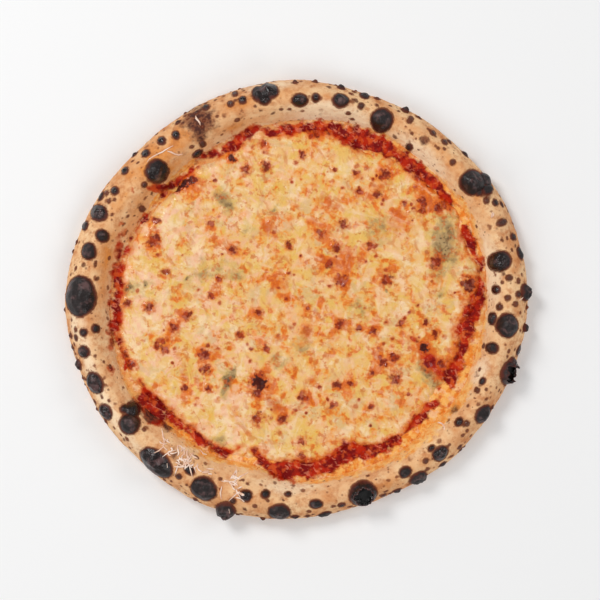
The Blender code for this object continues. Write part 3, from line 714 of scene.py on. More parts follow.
def make_sauce():
    turns = np.linspace(0, math.tau, SAUCE_STEPS, endpoint=False)
    foot, bottom = around(RIM_FOOT, turns), (BASE_THICKNESS + CLEARANCE) * MM
    skin = SKIN_RINGS[:, None] * (foot + SAUCE_MEETS_RIM * MM)
    under = UNDER_RINGS[:, None] * (foot - SAUCE_GAP_TO_FOOT * MM)
    heights = np.vstack([0 * skin + bottom + SAUCE_THICKNESS * MM, 0 * under + bottom])
    sauce = ringed_piece("sauce", np.vstack([skin, under]), heights, turns)
    row = np.arange(len(heights))[:, None] + 0 * turns
    oiliness = around(OIL_REACH, turns) / (OILY_REACH * MM) + 0 * row
    note_on(sauce, open=np.interp(row, *zip(*PULPY)), oiliness=oiliness)
    note_sauce(sauce)
    return sauce


sauce = make_sauce()
tomato, nodes, shader = new_finish("tomato")
in_sauce, tomato_paint = bare_sauce(nodes)
oil = nodes.mixed(nodes.cloud(4.5, 4, 0.6, 36).rising(0.4, 0.6), paint(238, 136, 44), paint(250, 186, 100))
oiled = nodes.painted(
    paint(226, 158, 96),
    (nodes.note("oiliness").rising(0.2, 0.8), oil),
    # pale patches in the oil, in part painted highlights on its wrinkles
    (nodes.cloud(6, 4, 0.6, 62).rising(0.5, 0.62) * 0.7, paint(250, 206, 158)),
    (nodes.cloud(4, 4, 0.6, 63).rising(0.52, 0.64) * 0.7, paint(208, 98, 42)),
)
colour = nodes.mixed(in_sauce.rising(-1.3, 1.3), oiled, tomato_paint)
wet = nodes.cloud(5, 2, 0.5, 60).rising(0.5, 0.6)
wire(nodes, shader, colour, 0.55 - wet * 0.32, nodes.cloud(5, 2, 0.5, 61), 1.6, Specular_IOR_Level=0.14)

recipe = Recipe("stir_pulp", **{"Pulp height": 0.9})
nodes, size = recipe.nodes, recipe.size
relief = nodes.swing(size("Pulp height") * 2, 6, 2, 0.5, 2) * nodes.note("open")
recipe.apply(sauce, raised(nodes, size("Geometry"), relief), tomato)

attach(sauce, "root")
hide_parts("tomato_sauce")

# ------------------------------------------------------------------------------------------------
# Melted cheese. Mozzarella and two harder cheeses, grated and torn over the sauce, which melted into
# one sheet. Where it blistered it browned in small rings, and oil coloured by the tomato lies between.

# The sheet's edge, in mm from the middle, every 10 degrees from +X.
CHEESE_EDGE = (
    118, 122, 117, 121, 115.5, 116, 112, 110, 115, 114, 112, 112.5, 110.5, 113.5, 111.5, 115, 118.5, 121,
    124, 124.5, 124.5, 122, 115, 113.5, 114, 111.5, 109.5, 110, 108.5, 104, 112.5, 113.5, 110, 110.5, 113,
    110,
)
CHEESE_THICKNESS, CHEESE_RIPPLE, CHEESE_RIPPLE_LENGTH, CHEESE_GAP_TO_FOOT = 3.1, 0.9, 15, 0.6
CHEESE_EDGE_TAPER, CHEESE_EDGE_SUNK, CHEESE_FRILLS, CHEESE_MOST_FRILL = 9, 1.1, 2.6, 0.4
CHEESE_FRILLS_ROUND = (9, 27)
CHEESE_SQUARES, CHEESE_SKIN_FROM_EDGE = 300, 1.2
# The ring under its edge, as a share of the way out and as a depth below the sheet.
CHEESE_UNDER_SHARE, CHEESE_UNDER_SUNK = 0.99, 1.6 * CHEESE_EDGE_SUNK
CHEESE_BOTTOM = BASE_THICKNESS + SAUCE_THICKNESS + 2 * CLEARANCE
# Browned spots: x and y in mm, radius in mm and how dark, from 0.3, orange, to 1.6, burnt.
BROWNED = (
    (-97.6, 40.1, 4.7, 1.2), (-59.3, 51.3, 2.8, 0.8), (-36, 86.9, 3.3, 1), (-45.3, 94.9, 2.7, 1.5),
    (-24.5, 104.7, 3, 1), (-82, 75, 3.2, 1.5), (-78, 77.5, 3.4, 1.6), (-74, 79, 3.2, 1.5),
    (-70, 80.5, 2.6, 1.2), (-96, 52.8, 2.8, 1), (-21.1, 47.7, 4, 0.5), (-7.1, 37.1, 3, 1),
    (-45.3, 33.7, 2.7, 1), (-90, 18.4, 2.6, 0.8), (-58.7, 2.7, 2.7, 1), (-54.3, 13.7, 2, 1),
    (-12.7, 12.9, 4, 0.35), (-27.5, -8.4, 2.7, 1), (-115.5, -2.5, 3, 1), (-101, -5.3, 3.3, 1),
    (-74.7, -10, 3.3, 1), (-22.8, 89.3, 3.5, 1), (27.8, 12.9, 4.5, 1.2), (112.8, 10.3, 5.4, 1.35),
    (1.3, 97.1, 2.3, 1), (10.7, 110.7, 3.3, 1), (56.7, 83.5, 4, 1), (51.1, 70.7, 3.3, 1),
    (37.5, 84.7, 2.3, 1), (39.7, 72.4, 2.7, 1), (15.9, 66.4, 4, 0.35), (28.7, 50.7, 3, 1),
    (13.7, 44.3, 3, 1), (24.4, 34.9, 3.3, 1), (47.7, 35.8, 3.3, 1), (81.3, 65.6, 3.3, 1),
    (81.3, 59.3, 2.7, 1), (92, 60.7, 3.3, 1), (96, 63.5, 3, 1), (86.5, 77.5, 3.3, 1), (90.3, 25.6, 4, 1),
    (58, 13.7, 3.7, 1), (19.3, 24, 2.7, 1), (21.3, 95.3, 2.3, 0.35), (73.3, 73.3, 2, 0.35),
    (69.9, 64.7, 2, 1), (66.5, 50.3, 6, 0.35), (120.7, 0.9, 3.3, 1.5), (34, 28.1, 5.3, 0.35),
    (-95, -30, 3, 1), (-90, -33.3, 2.7, 1), (-92, -27.5, 2.2, 1), (-84, -18.7, 3.5, 1),
    (-117.3, -36.7, 3.3, 1), (-112.7, -43.3, 3.3, 1), (-63.6, -36.5, 4, 1), (-56.8, -34, 3.3, 0.4),
    (-40.2, -23.8, 2.7, 1), (-28, -55.3, 5.3, 1.6), (-26, -50, 3, 1), (-28.7, -62, 3, 1),
    (-28.3, -79.5, 4, 1), (-11.7, -79.1, 3.3, 1), (-22.8, -32.7, 2.7, 1), (-77.3, -58.7, 2.3, 1),
    (-61.5, -58.7, 2.3, 1), (-62.7, -46, 3.3, 1), (-16, -70.7, 4, 0.5), (-43.3, -74.7, 2.7, 0.35),
    (26.9, -16, 3.3, 1), (4.4, -20.4, 3.3, 0.6), (24.7, -57, 2.7, 1), (2.3, -65.3, 3.6, 1),
    (64, -52.3, 4, 1), (55.9, -41.7, 3.3, 1), (21.3, -70.6, 2.3, 1), (90.3, -22.5, 2.7, 1),
    (47.7, -48.9, 2.3, 1), (47.3, -71, 2, 1), (7.8, -54.4, 2.7, 0.35), (34, -56, 2.3, 1),
    (68, -15.3, 2.7, 1), (84, -14.7, 2, 1), (40, -18.7, 2, 1), (48.7, -20.4, 2.7, 1), (1, -94.4, 2.7, 1),
    (63.1, -38.3, 3.3, 1), (95.3, -42.7, 3.3, 1), (82.7, -32.3, 3.3, 1.6), (1.3, -104, 2.7, 0.8),
)
# Small ones besides, that fall near these and near the orange places: how many, how far off, radius and dark.
SMALL_SPOTS, SMALL_SPOTS_SPREAD, SMALL_SPOT_SIZES, SMALL_SPOT_TONES = 220, 7, (0.8, 1.6), (0.3, 0.9)
# Where the cheese is thick and pale, or thin and coloured by oil: x, y and radius in mm and how pale, below
# 0, or how orange, above 0.
SHADES = (
    (-86, 52, 11, -0.9), (-70, 28, 8, -0.7), (-65, 11, 9, -0.5), (-109, 12, 10, -0.9), (-106, -23, 8, -0.8),
    (-68, -16, 12, -0.8), (-38, -23, 8, -0.7), (-48, -73, 14, -1), (-60, -92, 8, -0.7), (-9, -96, 11, -0.9),
    (-24, 92, 7, -0.7), (-51, 82, 8, -0.6), (0, 89, 10, -0.4), (30, 89, 8, -0.7), (-6, 70, 10, -0.5),
    (-38, 60, 10, -0.6), (70, 73, 8, -0.6), (83, 41, 8, -0.4), (73, 22, 8, -0.5), (63, -7, 9, -0.6),
    (54, -97, 4, -1), (83, -77, 4, -0.9), (109, 40, 7, -1), (114, 28, 5, -0.8), (-82, -7, 8, 0.7),
    (32, 28, 9, 0.9), (-16, 16, 7, 0.8), (-6, 0, 6, 0.7), (3, -16, 8, 0.8), (27, 22, 8, 0.6),
    (-63, -37, 8, 0.7), (-21, 49, 8, 0.7), (11, 52, 7, 0.7), (54, 85, 7, 0.7), (51, 70, 7, 0.7),
    (16, 66, 6, 0.8), (68, 52, 7, 0.8), (73, -29, 8, 0.7), (57, -38, 7, 0.8), (51, -16, 7, 0.6),
    (3, -64, 7, 0.7), (-14, -75, 8, 0.7), (-70, -60, 9, 0.6), (-98, 40, 7, 0.6), (85, 62, 8, 0.7),
    (92, 24, 7, 0.5), (112, 10, 9, -0.6), (-28, -57, 8, 0.6), (100, -35, 8, 0.6), (-93, -32, 9, 0.7),
    (20, 40, 8, 0.5), (-45, 33, 7, 0.4), (-58, 3, 7, 0.4), (30, -17, 7, 0.5), (-112, -10, 20, -0.6),
    (-98, -50, 18, -0.4), (-62, -88, 20, -0.3), (-92, 42, 16, -0.4), (30, 40, 34, 0.2), (20, -45, 30, 0.2),
    (0, 0, 42, 0.25), (0, 92, 22, 0.25), (-62, -64, 20, 0.25), (0, -90, 20, 0.15), (64, -64, 24, 0.3),
    (90, -4, 18, 0.25), (-48, 36, 18, 0.2), (-60, 0, 14, 0.2), (90, 66, 8, 0.9), (79, 77, 7, 0.9),
    (86, -45, 9, 1.3), (-48, -52, 5, 0.3), (112, 32, 5, 0.8), (-72, 78, 9, 0.9), (37, 82, 7, 0.5),
    (1, 98, 6, 0.5),
)
# Lumps of blue cheese: x, y, length and width in mm, the turn of the length in degrees and how mouldy.
BLUE_CHEESE = (
    (96, 36.5, 42, 14, 83, 1), (86.5, -47.5, 24, 8.5, 111, 1.3), (51, 48, 21, 12, 140, 0.5),
    (-50.5, 66.5, 18, 7, 123, 1), (-36, 46, 11, 8.5, 150, 0.4), (-108.5, 8, 19, 8, 5, 0.35),
    (-48, -55, 17, 5.5, 65, 1.5), (-53.5, -94.5, 12, 9, 40, 0.6), (2, -31.5, 13, 7, 25, 0.6),
)
# Where its mould only stained the cheese: x, y and radius in mm and how mouldy.
STAINS = (
    (-16.7, 59.3, 6, 0.55), (-66, 18, 9, 0.55), (-54, 20, 8, 0.55), (-42, 18, 7, 0.55),
    (-105.3, -61.3, 3, 0.55), (-14.7, -40.7, 6, 0.55), (40, -5, 8, 0.55), (-115, 7.8, 3.8, 1.1),
    (-103, 7.8, 3.8, 1.05), (-16.5, 59.3, 3.2, 1.2), (-75.3, 14.5, 1.8, 1.2), (58, 6.7, 1.5, 1.3),
    (93, 15, 6, 0.75), (94, 5, 5, 0.55),
)
# Two lays of grated strands, still seen in the melt: their turn in degrees, and which pattern.
STRANDS = ((20, 70), (100, 74))
# How many times its own size a spot's warmth, a lump's mould and a stain reach, and how the mould bends.
WARMTH_REACH, LUMP_LONGER, LUMP_WIDER, STAIN_REACH = 2.2, 1.5, 1.9, 2.6
MOULD_BEND, MOULD_BEND_LENGTH = 5, 7


def cheese_top(x, y):
    """The height of the cheese's skin, in mm above its underside, before its fine relief."""
    ripple = [noise.noise(Vector((a, b, 0)) / CHEESE_RIPPLE_LENGTH) for a, b in zip(x.ravel(), y.ravel())]
    return CHEESE_THICKNESS + CHEESE_RIPPLE * np.reshape(ripple, x.shape)


def note_spots(piece):
    """Keeps on a piece's points where the cheese is browned, burnt, paler, oilier or stained by mould."""
    x, y, _ = points_of(piece)
    draw = np.random.default_rng(6)
    browned = np.array(BROWNED)
    near = np.vstack([browned[:, :2], [(a, b) for a, b, _, much in SHADES if much > 0]])
    near = near[draw.integers(0, len(near), SMALL_SPOTS)]
    small = near + draw.normal(0, SMALL_SPOTS_SPREAD, (SMALL_SPOTS, 2))
    sizes, tones = (draw.uniform(*ends, SMALL_SPOTS) for ends in (SMALL_SPOT_SIZES, SMALL_SPOT_TONES))
    spots = np.vstack([browned, np.column_stack([small, sizes, tones])])
    fields = 1 - np.hypot(x - spots[:, :1], y - spots[:, 1:2]) / (2 * spots[:, 2:3])
    note_on(piece, browning=fields.max(axis=0).clip(0), darkness=spots[fields.argmax(axis=0), 3])
    warmer = [(a, b, WARMTH_REACH * r, 0.25 + 0.15 * dark) for a, b, r, dark in BROWNED]
    warmths = [much * np.exp(-((x - a) ** 2 + (y - b) ** 2) / r**2) for a, b, r, much in (*SHADES, *warmer)]
    ovals = [(a, b, LUMP_LONGER * long, LUMP_WIDER * wide, *end) for a, b, long, wide, *end in BLUE_CHEESE]
    ovals += [(a, b, STAIN_REACH * r, STAIN_REACH * r, 0, much) for a, b, r, much in STAINS]
    noise.seed_set(2)
    bends = [noise.noise_vector(Vector((a, b, 0)) / MOULD_BEND_LENGTH) for a, b in zip(x, y)]
    across, up = np.array(bends).T[:2] * MOULD_BEND + (x, y)
    mould = [much * within(across, up, *oval).clip(0) for *oval, much in ovals]
    note_on(piece, warmth=sum(warmths), mould=np.max(mould, axis=0))
    note_sauce(piece)


def make_cheese():
    side = np.linspace(-1, 1, CHEESE_SQUARES + 1)
    across, up = np.meshgrid(side, side, indexing="xy")
    wide = abs(across) > abs(up)
    reach = np.where(wide, across, up)
    lean = np.where(wide, up, across) / np.where(reach == 0, 1, reach) * math.pi / 4
    turns = (np.where(wide, lean, math.pi / 2 - lean) + np.where(reach < 0, math.pi, 0)).ravel()
    share = (1.1 * abs(reach) - 0.1 * reach**4).ravel()  # with narrower squares towards the edge
    edge = np.minimum(around(CHEESE_EDGE, turns), around(RIM_FOOT, turns) - CHEESE_GAP_TO_FOOT * MM) / MM
    rounds = [Vector((math.cos(turn), math.sin(turn), 0)) for turn in turns]
    coarse, fine = ([noise.noise(at * times) for at in rounds] for times in CHEESE_FRILLS_ROUND)
    frills = np.minimum(np.array(coarse) + 0.5 * np.array(fine), CHEESE_MOST_FRILL)
    edge = edge + CHEESE_FRILLS * frills
    x, y, from_edge = edge * share * np.cos(turns), edge * share * np.sin(turns), edge * (1 - share)
    thick = np.clip(from_edge / CHEESE_EDGE_TAPER, 0, 1)
    z = CHEESE_BOTTOM + cheese_top(x, y) * (1 - (1 - thick) ** 2) - CHEESE_EDGE_SUNK * (1 - thick) ** 6
    index = np.arange(len(x)).reshape(across.shape)
    ring = np.concatenate([index[0, :-1], index[:-1, -1], index[-1, :0:-1], index[:0:-1, 0]])
    under = len(x) + np.arange(len(ring))
    after, under_after = np.roll(ring, -1), np.roll(under, -1)
    sunk = 0 * ring + CHEESE_BOTTOM - CHEESE_UNDER_SUNK
    under_ring = np.stack([x[ring] * CHEESE_UNDER_SHARE, y[ring] * CHEESE_UNDER_SHARE, sunk], axis=-1)
    points = np.vstack([np.stack([x, y, z], axis=-1), under_ring, [[0, 0, CHEESE_BOTTOM]]])
    squares = np.stack([index[:-1, :-1], index[:-1, 1:], index[1:, 1:], index[1:, :-1]], axis=-1)
    wall = np.stack([after, ring, under, under_after], axis=-1)
    faces = [*squares.reshape(-1, 4).tolist(), *wall.tolist()]
    faces += [(int(a), int(b), len(points) - 1) for a, b in zip(under_after, under)]
    cheese = new_piece("cheese", (points * MM).tolist(), faces=faces)
    note_on(cheese, skin=np.clip(from_edge / CHEESE_SKIN_FROM_EDGE, 0, 1))
    note_spots(cheese)
    return cheese


def cheese_finish(name):
    """Melted cheese, browned, stained and oiled where the piece's own numbers say."""
    material, nodes, shader = new_finish(name)
    nodes.place = nodes.vector("MULTIPLY", nodes.place, (1, 1, 0))  # so that it runs on from piece to piece
    browning, darkness, mould = map(nodes.note, ("browning", "darkness", "mould"))
    creamy = nodes.cloud(16, 2, 0.5, 81).rising(0.53, 0.62)
    stirred = nodes.swing(5.5, 9, 4, 0.55, 0, 0.5) + nodes.swing(3.6, 4.5, 3, 0.5, 3, 0.5)
    warmth = nodes.note("warmth") + stirred * (1 - creamy * 0.75) - creamy * 0.5
    reddest = warmth.rising(1.2, 2) * nodes.cloud(4, 4, 0.6, 6).rising(0.42, 0.58)
    east = nodes.part(nodes.place, "X").rising(-0.09, 0.03)
    pinker = nodes.cloud(10, 4, 0.6, 7, 0.6).rising(0.44, 0.6) * (1 - warmth.rising(0.2, 0.9) * 0.7)
    yellower = nodes.cloud(11, 4, 0.6, 13, 0.6).rising(0.48, 0.62) * (1 - warmth.rising(0.4, 0.9))
    duller = nodes.cloud(14, 4, 0.6, 16, 0.6).rising(0.52, 0.66) * (1 - warmth.rising(0.2, 0.8))
    lays = []
    for turn, shift in STRANDS:
        here = nodes.cloud(12, 2, 0.5, shift + 1).rising(0.42, 0.55)
        lays.append(nodes.streaks(4, 24, turn, shift).rising(0.5, 0.68) * here)
    strands = lays[0].most(lays[1])
    between = nodes.streaks(3.4, 18, 65, 78).rising(0.52, 0.68)
    between = between * nodes.cloud(10, 2, 0.5, 79).rising(0.45, 0.58)
    olive = (mould * 2 + nodes.swing(3, 7, 4, 0.6, 25)).rising(0, 0.9) * mould.rising(0, 0.12)
    greyer = (mould * 1.9 + nodes.swing(3.2, 5, 4, 0.62, 23, 0.4) - 0.35).rising(0, 1.2)
    greyer = greyer * mould.rising(0, 0.2)
    veins = nodes.cloud(6, 4, 0.5, 27).rising(0.48, 0.66) * mould.rising(0.15, 0.7)
    spores = nodes.cloud(2.6, 3, 0.55, 28).rising(0.54, 0.68) * mould.rising(0.25, 0.9)
    darkest = (mould + nodes.swing(0.7, 2.4, 2, 0.5, 29)).rising(0.85, 1.15)
    flecks = (nodes.cloud(3.6, 3, 0.55, 31) + warmth * 0.045 - creamy * 0.08).rising(0.55, 0.67)
    in_sauce, tomato_paint = bare_sauce(nodes)
    ragged = browning + nodes.swing(1.3, 3.2, 3, 0.55, 41)
    patchy = nodes.cloud(2.8, 3, 0.6, 45).rising(0.36, 0.56) * 0.6 + 0.4
    halo = ragged.rising(0.1, 0.5) * (0.3 + darkness * 0.5) * patchy
    core = ragged.rising(0.42, 0.74) * darkness.rising(0.35, 0.8)
    browner = nodes.cloud(4.5, 3, 0.6, 42).rising(0.36, 0.56) * darkness.rising(0.6, 1)
    # Painted highlight: paler pink glints in the middle of the darker browned spots.
    middle = (nodes.cloud(3.4, 2, 0.5, 43) + ragged * 0.08).rising(0.58, 0.7) * core
    colour = nodes.painted(
        paint(247, 212, 162),
        (warmth.rising(-1, -0.15), paint(238, 187, 115)),
        (warmth.rising(-0.1, 0.55), paint(238, 164, 78)),
        (warmth.rising(0.5, 1.2), paint(230, 120, 34)),
        (reddest * 0.8, paint(196, 74, 14)),
        (pinker * (0.7 - east * 0.35), paint(246, 184, 154)),
        (yellower * 0.7, paint(232, 186, 86)),
        (duller * 0.55, paint(212, 178, 128)),
        (strands * 0.4, paint(252, 222, 184)),
        (between * 0.55, paint(208, 120, 60)),
        (olive * 0.5, paint(208, 174, 98)),
        (greyer * 0.85, nodes.mixed(warmth.rising(0.5, 1.3), paint(172, 142, 98), paint(156, 84, 44))),
        (veins * 0.7, paint(124, 96, 58)),
        (spores * 0.8, paint(78, 56, 40)),
        (darkest * 0.85, paint(92, 66, 46)),
        (flecks * 0.6, paint(204, 94, 28)),
        (in_sauce.rising(-4, 0) * 0.75, paint(226, 112, 34)),
        (in_sauce.rising(-1.4, 1.4), tomato_paint),
        (halo * 0.9, paint(212, 92, 18)),
        (core * 0.92, nodes.mixed(browner, paint(170, 54, 12), paint(110, 14, 4))),
        # painted highlight in the browned spots
        (middle * 0.5, paint(206, 122, 96)),
        (ragged.rising(0.5, 0.7) * darkness.rising(1.1, 1.6) * 0.85, paint(44, 8, 6)),
    )
    wet = (nodes.cloud(3, 3, 0.5, 60) + warmth * 0.03).rising(0.55, 0.62) * 0.6
    relief = nodes.cloud(3, 3, 0.55, 51) * 0.8 + strands * 0.15
    shine = {"Specular_IOR_Level": 0.15, "Coat_Weight": wet, "Coat_Roughness": 0.12}
    wire(nodes, shader, colour, 0.42, relief, 0.9, **shine)
    return material


cheese = make_cheese()
melted_cheese = cheese_finish("melted_cheese")
sizes = {"Lump height": 0.7, "Crinkle height": 0.3, "Ring height": 0.35, "Strand height": 0.25}
recipe = Recipe("blister_cheese", **sizes)
nodes, size = recipe.nodes, recipe.size
browning = nodes.note("browning")
lumps = nodes.swing(size("Lump height") * 2, 6, 3, 0.5, 1)
crinkles = nodes.swing(size("Crinkle height") * 2, 2.4, 3, 0.5, 2)
strands, crossing = (nodes.streaks(4, 24, turn, shift).rising(0.5, 0.7) for turn, shift in STRANDS)
rings = (browning.rising(0.15, 0.5) - browning.rising(0.55, 0.85) * 1.1) * size("Ring height")
relief = lumps + crinkles + rings + strands.most(crossing) * size("Strand height")
recipe.apply(cheese, raised(nodes, size("Geometry"), relief * nodes.note("skin")), melted_cheese)

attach(cheese, "root")
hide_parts("melted_cheese")

# ------------------------------------------------------------------------------------------------
# Blue cheese. Soft lumps of it were dropped on before baking and sank into the melt, so that each is a
# low grey-green mound with darker veins of mould, and its border runs into the cheese round it.

BLUE_RISE, BLUE_EDGE_SUNK, BLUE_UNDERSIDE_SUNK = 0.5, 0.45, 1.4
BLUE_RINGS, BLUE_STEPS = 14, 48
BLUE_WOBBLE, BLUE_WAVES = 0.22, 1.4  # how uneven its outline is, and how fast that changes


def make_blue_cheese():
    points, faces, depths = [], [], []
    turns = np.linspace(0, math.tau, BLUE_STEPS, endpoint=False)
    outwards = (np.arange(BLUE_RINGS) + 0.5) / BLUE_RINGS
    for x, y, length, width, turn, _ in BLUE_CHEESE:
        start = len(points)
        rounds = [Vector((x + BLUE_WAVES * math.cos(a), y + BLUE_WAVES * math.sin(a), 5)) for a in turns]
        wobble = 1 + BLUE_WOBBLE * np.array([noise.noise(at) for at in rounds])
        for row, share in enumerate([*outwards, *outwards[::-1]]):
            out = share * wobble * np.exp(1j * turns)
            place = (out.real * length / 2 + 1j * out.imag * width / 2) * np.exp(1j * math.radians(turn))
            across, up = x + place.real, y + place.imag
            domed = BLUE_RISE * (1 - share**2) - BLUE_EDGE_SUNK * share**6
            z = CHEESE_BOTTOM + cheese_top(across, up) + (domed if row < BLUE_RINGS else -BLUE_UNDERSIDE_SUNK)
            points += np.stack([across, up, z], axis=-1).tolist()
            depths += [1 - share] * BLUE_STEPS
        ids = start + np.arange(2 * BLUE_RINGS * BLUE_STEPS).reshape(2 * BLUE_RINGS, BLUE_STEPS)
        after = np.roll(ids, -1, axis=1)
        faces += np.stack([ids[:-1], ids[1:], after[1:], after[:-1]], axis=-1).reshape(-1, 4).tolist()
        faces += [ids[0].tolist(), ids[-1, ::-1].tolist()]
    lumps = new_piece("blue_cheese", (np.array(points) * MM).tolist(), faces=faces)
    note_on(lumps, skin=depths)
    note_spots(lumps)
    return lumps


blue_lumps = make_blue_cheese()
blue_cheese = cheese_finish("blue_cheese")
recipe = Recipe("crumble_blue_cheese", **{"Lump height": 0.7, "Crumb height": 0.45})
nodes, size = recipe.nodes, recipe.size
lumps = nodes.swing(size("Lump height") * 2, 6, 3, 0.5, 1)
crumbs = nodes.swing(size("Crumb height") * 2, 2.4, 3, 0.5, 2)
relief = raised(nodes, size("Geometry"), lumps + crumbs, nodes.parts(0, 0, 1))
recipe.apply(blue_lumps, relief, blue_cheese)

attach(blue_lumps, "root")
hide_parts(*(f"blue_cheese_{number}" for number in range(1, 1 + len(BLUE_CHEESE))))

# ------------------------------------------------------------------------------------------------
# Shreds. Hard cheese grated over the pizza as it came out of the oven. The ones on the rim stayed dry
# and pale: thin flat curls that lie over each other and over the bubbles, where they fell.

# Heaps: degrees round, distance from the middle, spread in mm and how many shreds.
SHRED_HEAPS = (
    (234, 130, 6.5, 26), (228.5, 130, 5, 7), (241, 131, 4, 5), (250, 128, 6, 11), (253, 135, 4, 3),
    (318, 124.5, 2, 1),
)
# Long ones, point by point in mm.
LONG_SHREDS = (
    (
        (-101.3, 91.3), (-99.5, 93.6), (-96.7, 95.3), (-94, 96.8), (-91.3, 98), (-89, 99.6), (-86.5, 101),
        (-84, 102.3),
    ),
    ((-88, 98.7), (-85.5, 98), (-83, 96.8), (-80.5, 96.3), (-78, 97)),
    ((-69.3, 122.3), (-68.8, 120.5), (-67.6, 119), (-66.4, 117.4), (-66, 115.6)),
    ((-92.2, -85.3), (-91, -90), (-90, -94), (-90.7, -97.3), (-93.3, -99.7), (-96.7, -101.3)),
    ((-91.1, -103.9), (-86.7, -100.5), (-82.2, -99.5)), ((-88, -108), (-87.7, -111.1)),
    ((-83.3, -116.7), (-81.7, -112.2), (-80.5, -108.3)),
    ((-71.1, -118.3), (-72.2, -113.3), (-73.9, -107.8)), ((-68.9, -114.5), (-70, -111.1), (-67.2, -109.5)),
    ((-66.7, -100), (-64.5, -102.8), (-62.2, -103.3)), ((-44.5, -120.5), (-39.5, -117.2), (-34.5, -114.8)),
    ((-52.2, -120), (-45.5, -120.5), (-41.1, -120)), ((-43.3, -110), (-42.2, -114.5), (-42.8, -120)),
    ((-47.2, -133.3), (-43.9, -130), (-40, -126.7)), ((-52.2, -132.2), (-52.8, -127.8), (-51.7, -123.3)),
    ((-47.2, -138.6), (-46.7, -141.6)), ((127.5, 58.3), (127.2, 56.4), (126.8, 54.5)),
    ((128.4, 57.9), (128.2, 56.4), (127.6, 54.8)), ((145.6, -0.3), (147.2, 0.7), (148.4, 1.9)),
)
SHRED_LENGTHS, SHRED_PIECES, SHRED_CURL, SHRED_KINK = (1.5, 7.5), 8, 1.4, 0.4

draw = random.Random(8)
curls = []
for degrees, distance, spread, count in SHRED_HEAPS:
    turn = math.radians(degrees)
    for _ in range(count):
        heading, curl = draw.uniform(0, math.tau), draw.gauss(0, SHRED_CURL)
        step = draw.uniform(*SHRED_LENGTHS) / SHRED_PIECES
        x = distance * math.cos(turn) + draw.gauss(0, spread / 2)
        y = distance * math.sin(turn) + draw.gauss(0, spread / 2)
        curls.append([])
        for _ in range(SHRED_PIECES + 1):
            curls[-1].append((x, y))
            x, y = x + step * math.cos(heading), y + step * math.sin(heading)
            heading += curl / SHRED_PIECES
            curl += draw.gauss(0, SHRED_KINK)
places, joins = [], []
for line in (*curls, *LONG_SHREDS):
    joins += [(len(places) + k, len(places) + k + 1) for k in range(len(line) - 1)]
    places += [(x * MM, y * MM, ABOVE_RIM) for x, y in line]
shreds = new_piece("shreds", places, joins)

dry_cheese, nodes, shader = new_finish("dry_cheese")
colour = nodes.mixed(nodes.cloud(5, 3).rising(0.4, 0.6), paint(255, 230, 212), paint(240, 196, 168))
wire(nodes, shader, colour, 0.45 + nodes.cloud(3, 2) * 0.1, nodes.cloud(0.8, 3), 0.15)

sizes = {"Width": 1.05, "Thickness": 0.4, "Uneven lift": 0.6, "Thinner ends": 0.7, "Uneven width": 1.6}
recipe = Recipe("drop_shreds", Dough=dough, Bubbles=bubbles, Cheese=cheese, **sizes)
nodes, size = recipe.nodes, recipe.size
ground = recipe.joined(*map(recipe.finished, ("Dough", "Bubbles", "Cheese")))
hit = met(nodes, ground, (0, 0, -1), LONGEST_FALL)
lift = (size("Thickness") * 0.4 + nodes.cloud(6, 1) * size("Uneven lift")) * MM
inputs = {0: size("Geometry"), "Position": hit, "Offset": nodes.parts(0, 0, lift)}
lines = nodes.add("GeometryNodeSetPosition", {}, inputs)
lines = nodes.add("GeometryNodeMeshToCurve", {}, {0: lines})
lines = nodes.add("GeometryNodeSetCurveNormal", {"mode": "Z_UP"}, {0: lines})
outline = nodes.add("GeometryNodeCurvePrimitiveCircle", {}, {"Resolution": 6, "Radius": 0.5 * MM})
flat = nodes.parts(size("Width"), size("Thickness"), 1)
outline = nodes.add("GeometryNodeTransform", {}, {0: outline, "Scale": flat})
from_middle = abs(nodes.add("GeometryNodeSplineParameter") * 2 - 1)
taper = (1 - from_middle**7 * size("Thinner ends")) * (nodes.cloud(3.5, 3) * size("Uneven width") + 0.2)
inputs = {0: lines, "Profile Curve": outline, "Scale": taper, "Fill Caps": True}
recipe.apply(shreds, nodes.add("GeometryNodeCurveToMesh", {}, inputs), dry_cheese)

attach(shreds, "root")

# ------------------------------------------------------------------------------------------------
# Studio. A plain pale table, one big soft lamp from the top left and pale light from all round, seen
# from straight above, as the pizza was photographed.

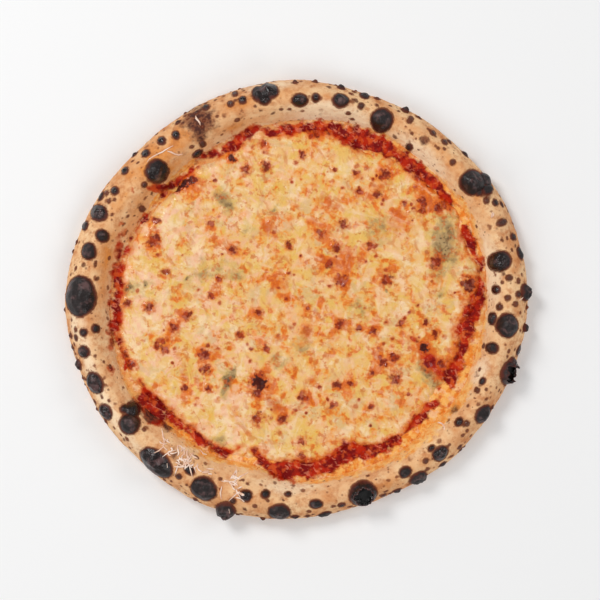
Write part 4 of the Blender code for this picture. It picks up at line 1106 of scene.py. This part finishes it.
# How far the table goes to each side, and how far below the pizza it lies, in metres.
TABLE_HALF, TABLE_LOW = 3, -0.0004
corners = [(x * TABLE_HALF, y * TABLE_HALF, TABLE_LOW) for x, y in ((-1, -1), (1, -1), (1, 1), (-1, 1))]
table = new_piece("table", corners, faces=[(0, 1, 2, 3)])
pale_table, nodes, shader = new_finish("pale_table")
shader.inputs["Base Color"].default_value = paint(246, 246, 246)
shader.inputs["Roughness"].default_value = 0.9
table.data.materials.append(pale_table)

LAMPS_AIM = Vector((0, 0, 0.01))
# Lamps: place and width in metres, and power in watts.
LAMPS = {
    "window_lamp": ((-0.8, 0.8, 1.3), 0.6, 11.6),
    "right_lamp": ((1.2, 0.5, 1.15), 0.9, 5),
    "near_lamp": ((0.5, -1.2, 1.15), 0.9, 5),
    "left_lamp": ((-1.2, -0.5, 1.15), 0.9, 5),
}
for name, (place, wide, power) in LAMPS.items():
    lamp = bpy.data.lights.new(name, "AREA")
    lamp.shape, lamp.size, lamp.energy = "DISK", wide, power
    item = bpy.data.objects.new(name, lamp)
    bpy.context.scene.collection.objects.link(item)
    item.location = place
    item.rotation_euler = (LAMPS_AIM - Vector(place)).to_track_quat("-Z", "Y").to_euler()
world = bpy.data.worlds.new("pale_room")
world.use_nodes = True
world.node_tree.nodes["Background"].inputs["Color"].default_value = (1, 1, 1, 1)
world.node_tree.nodes["Background"].inputs["Strength"].default_value = 0.38
bpy.context.scene.world = world
bpy.context.scene.view_settings.view_transform = "Standard"

# In metres, the camera looks down from this height and sees this width at that height. Its sensor is in mm.
CAMERA_HEIGHT, SEEN_WIDTH, SEEN_AT_HEIGHT, SENSOR_WIDTH = 1.5, 0.4, 0.012, 36
lens = bpy.data.cameras.new("overhead")
lens.sensor_width = SENSOR_WIDTH
lens.lens = SENSOR_WIDTH * (CAMERA_HEIGHT - SEEN_AT_HEIGHT) / SEEN_WIDTH
camera = bpy.data.objects.new("overhead", lens)
bpy.context.scene.collection.objects.link(camera)
camera.location = (0, 0, CAMERA_HEIGHT)
bpy.context.scene.camera = camera
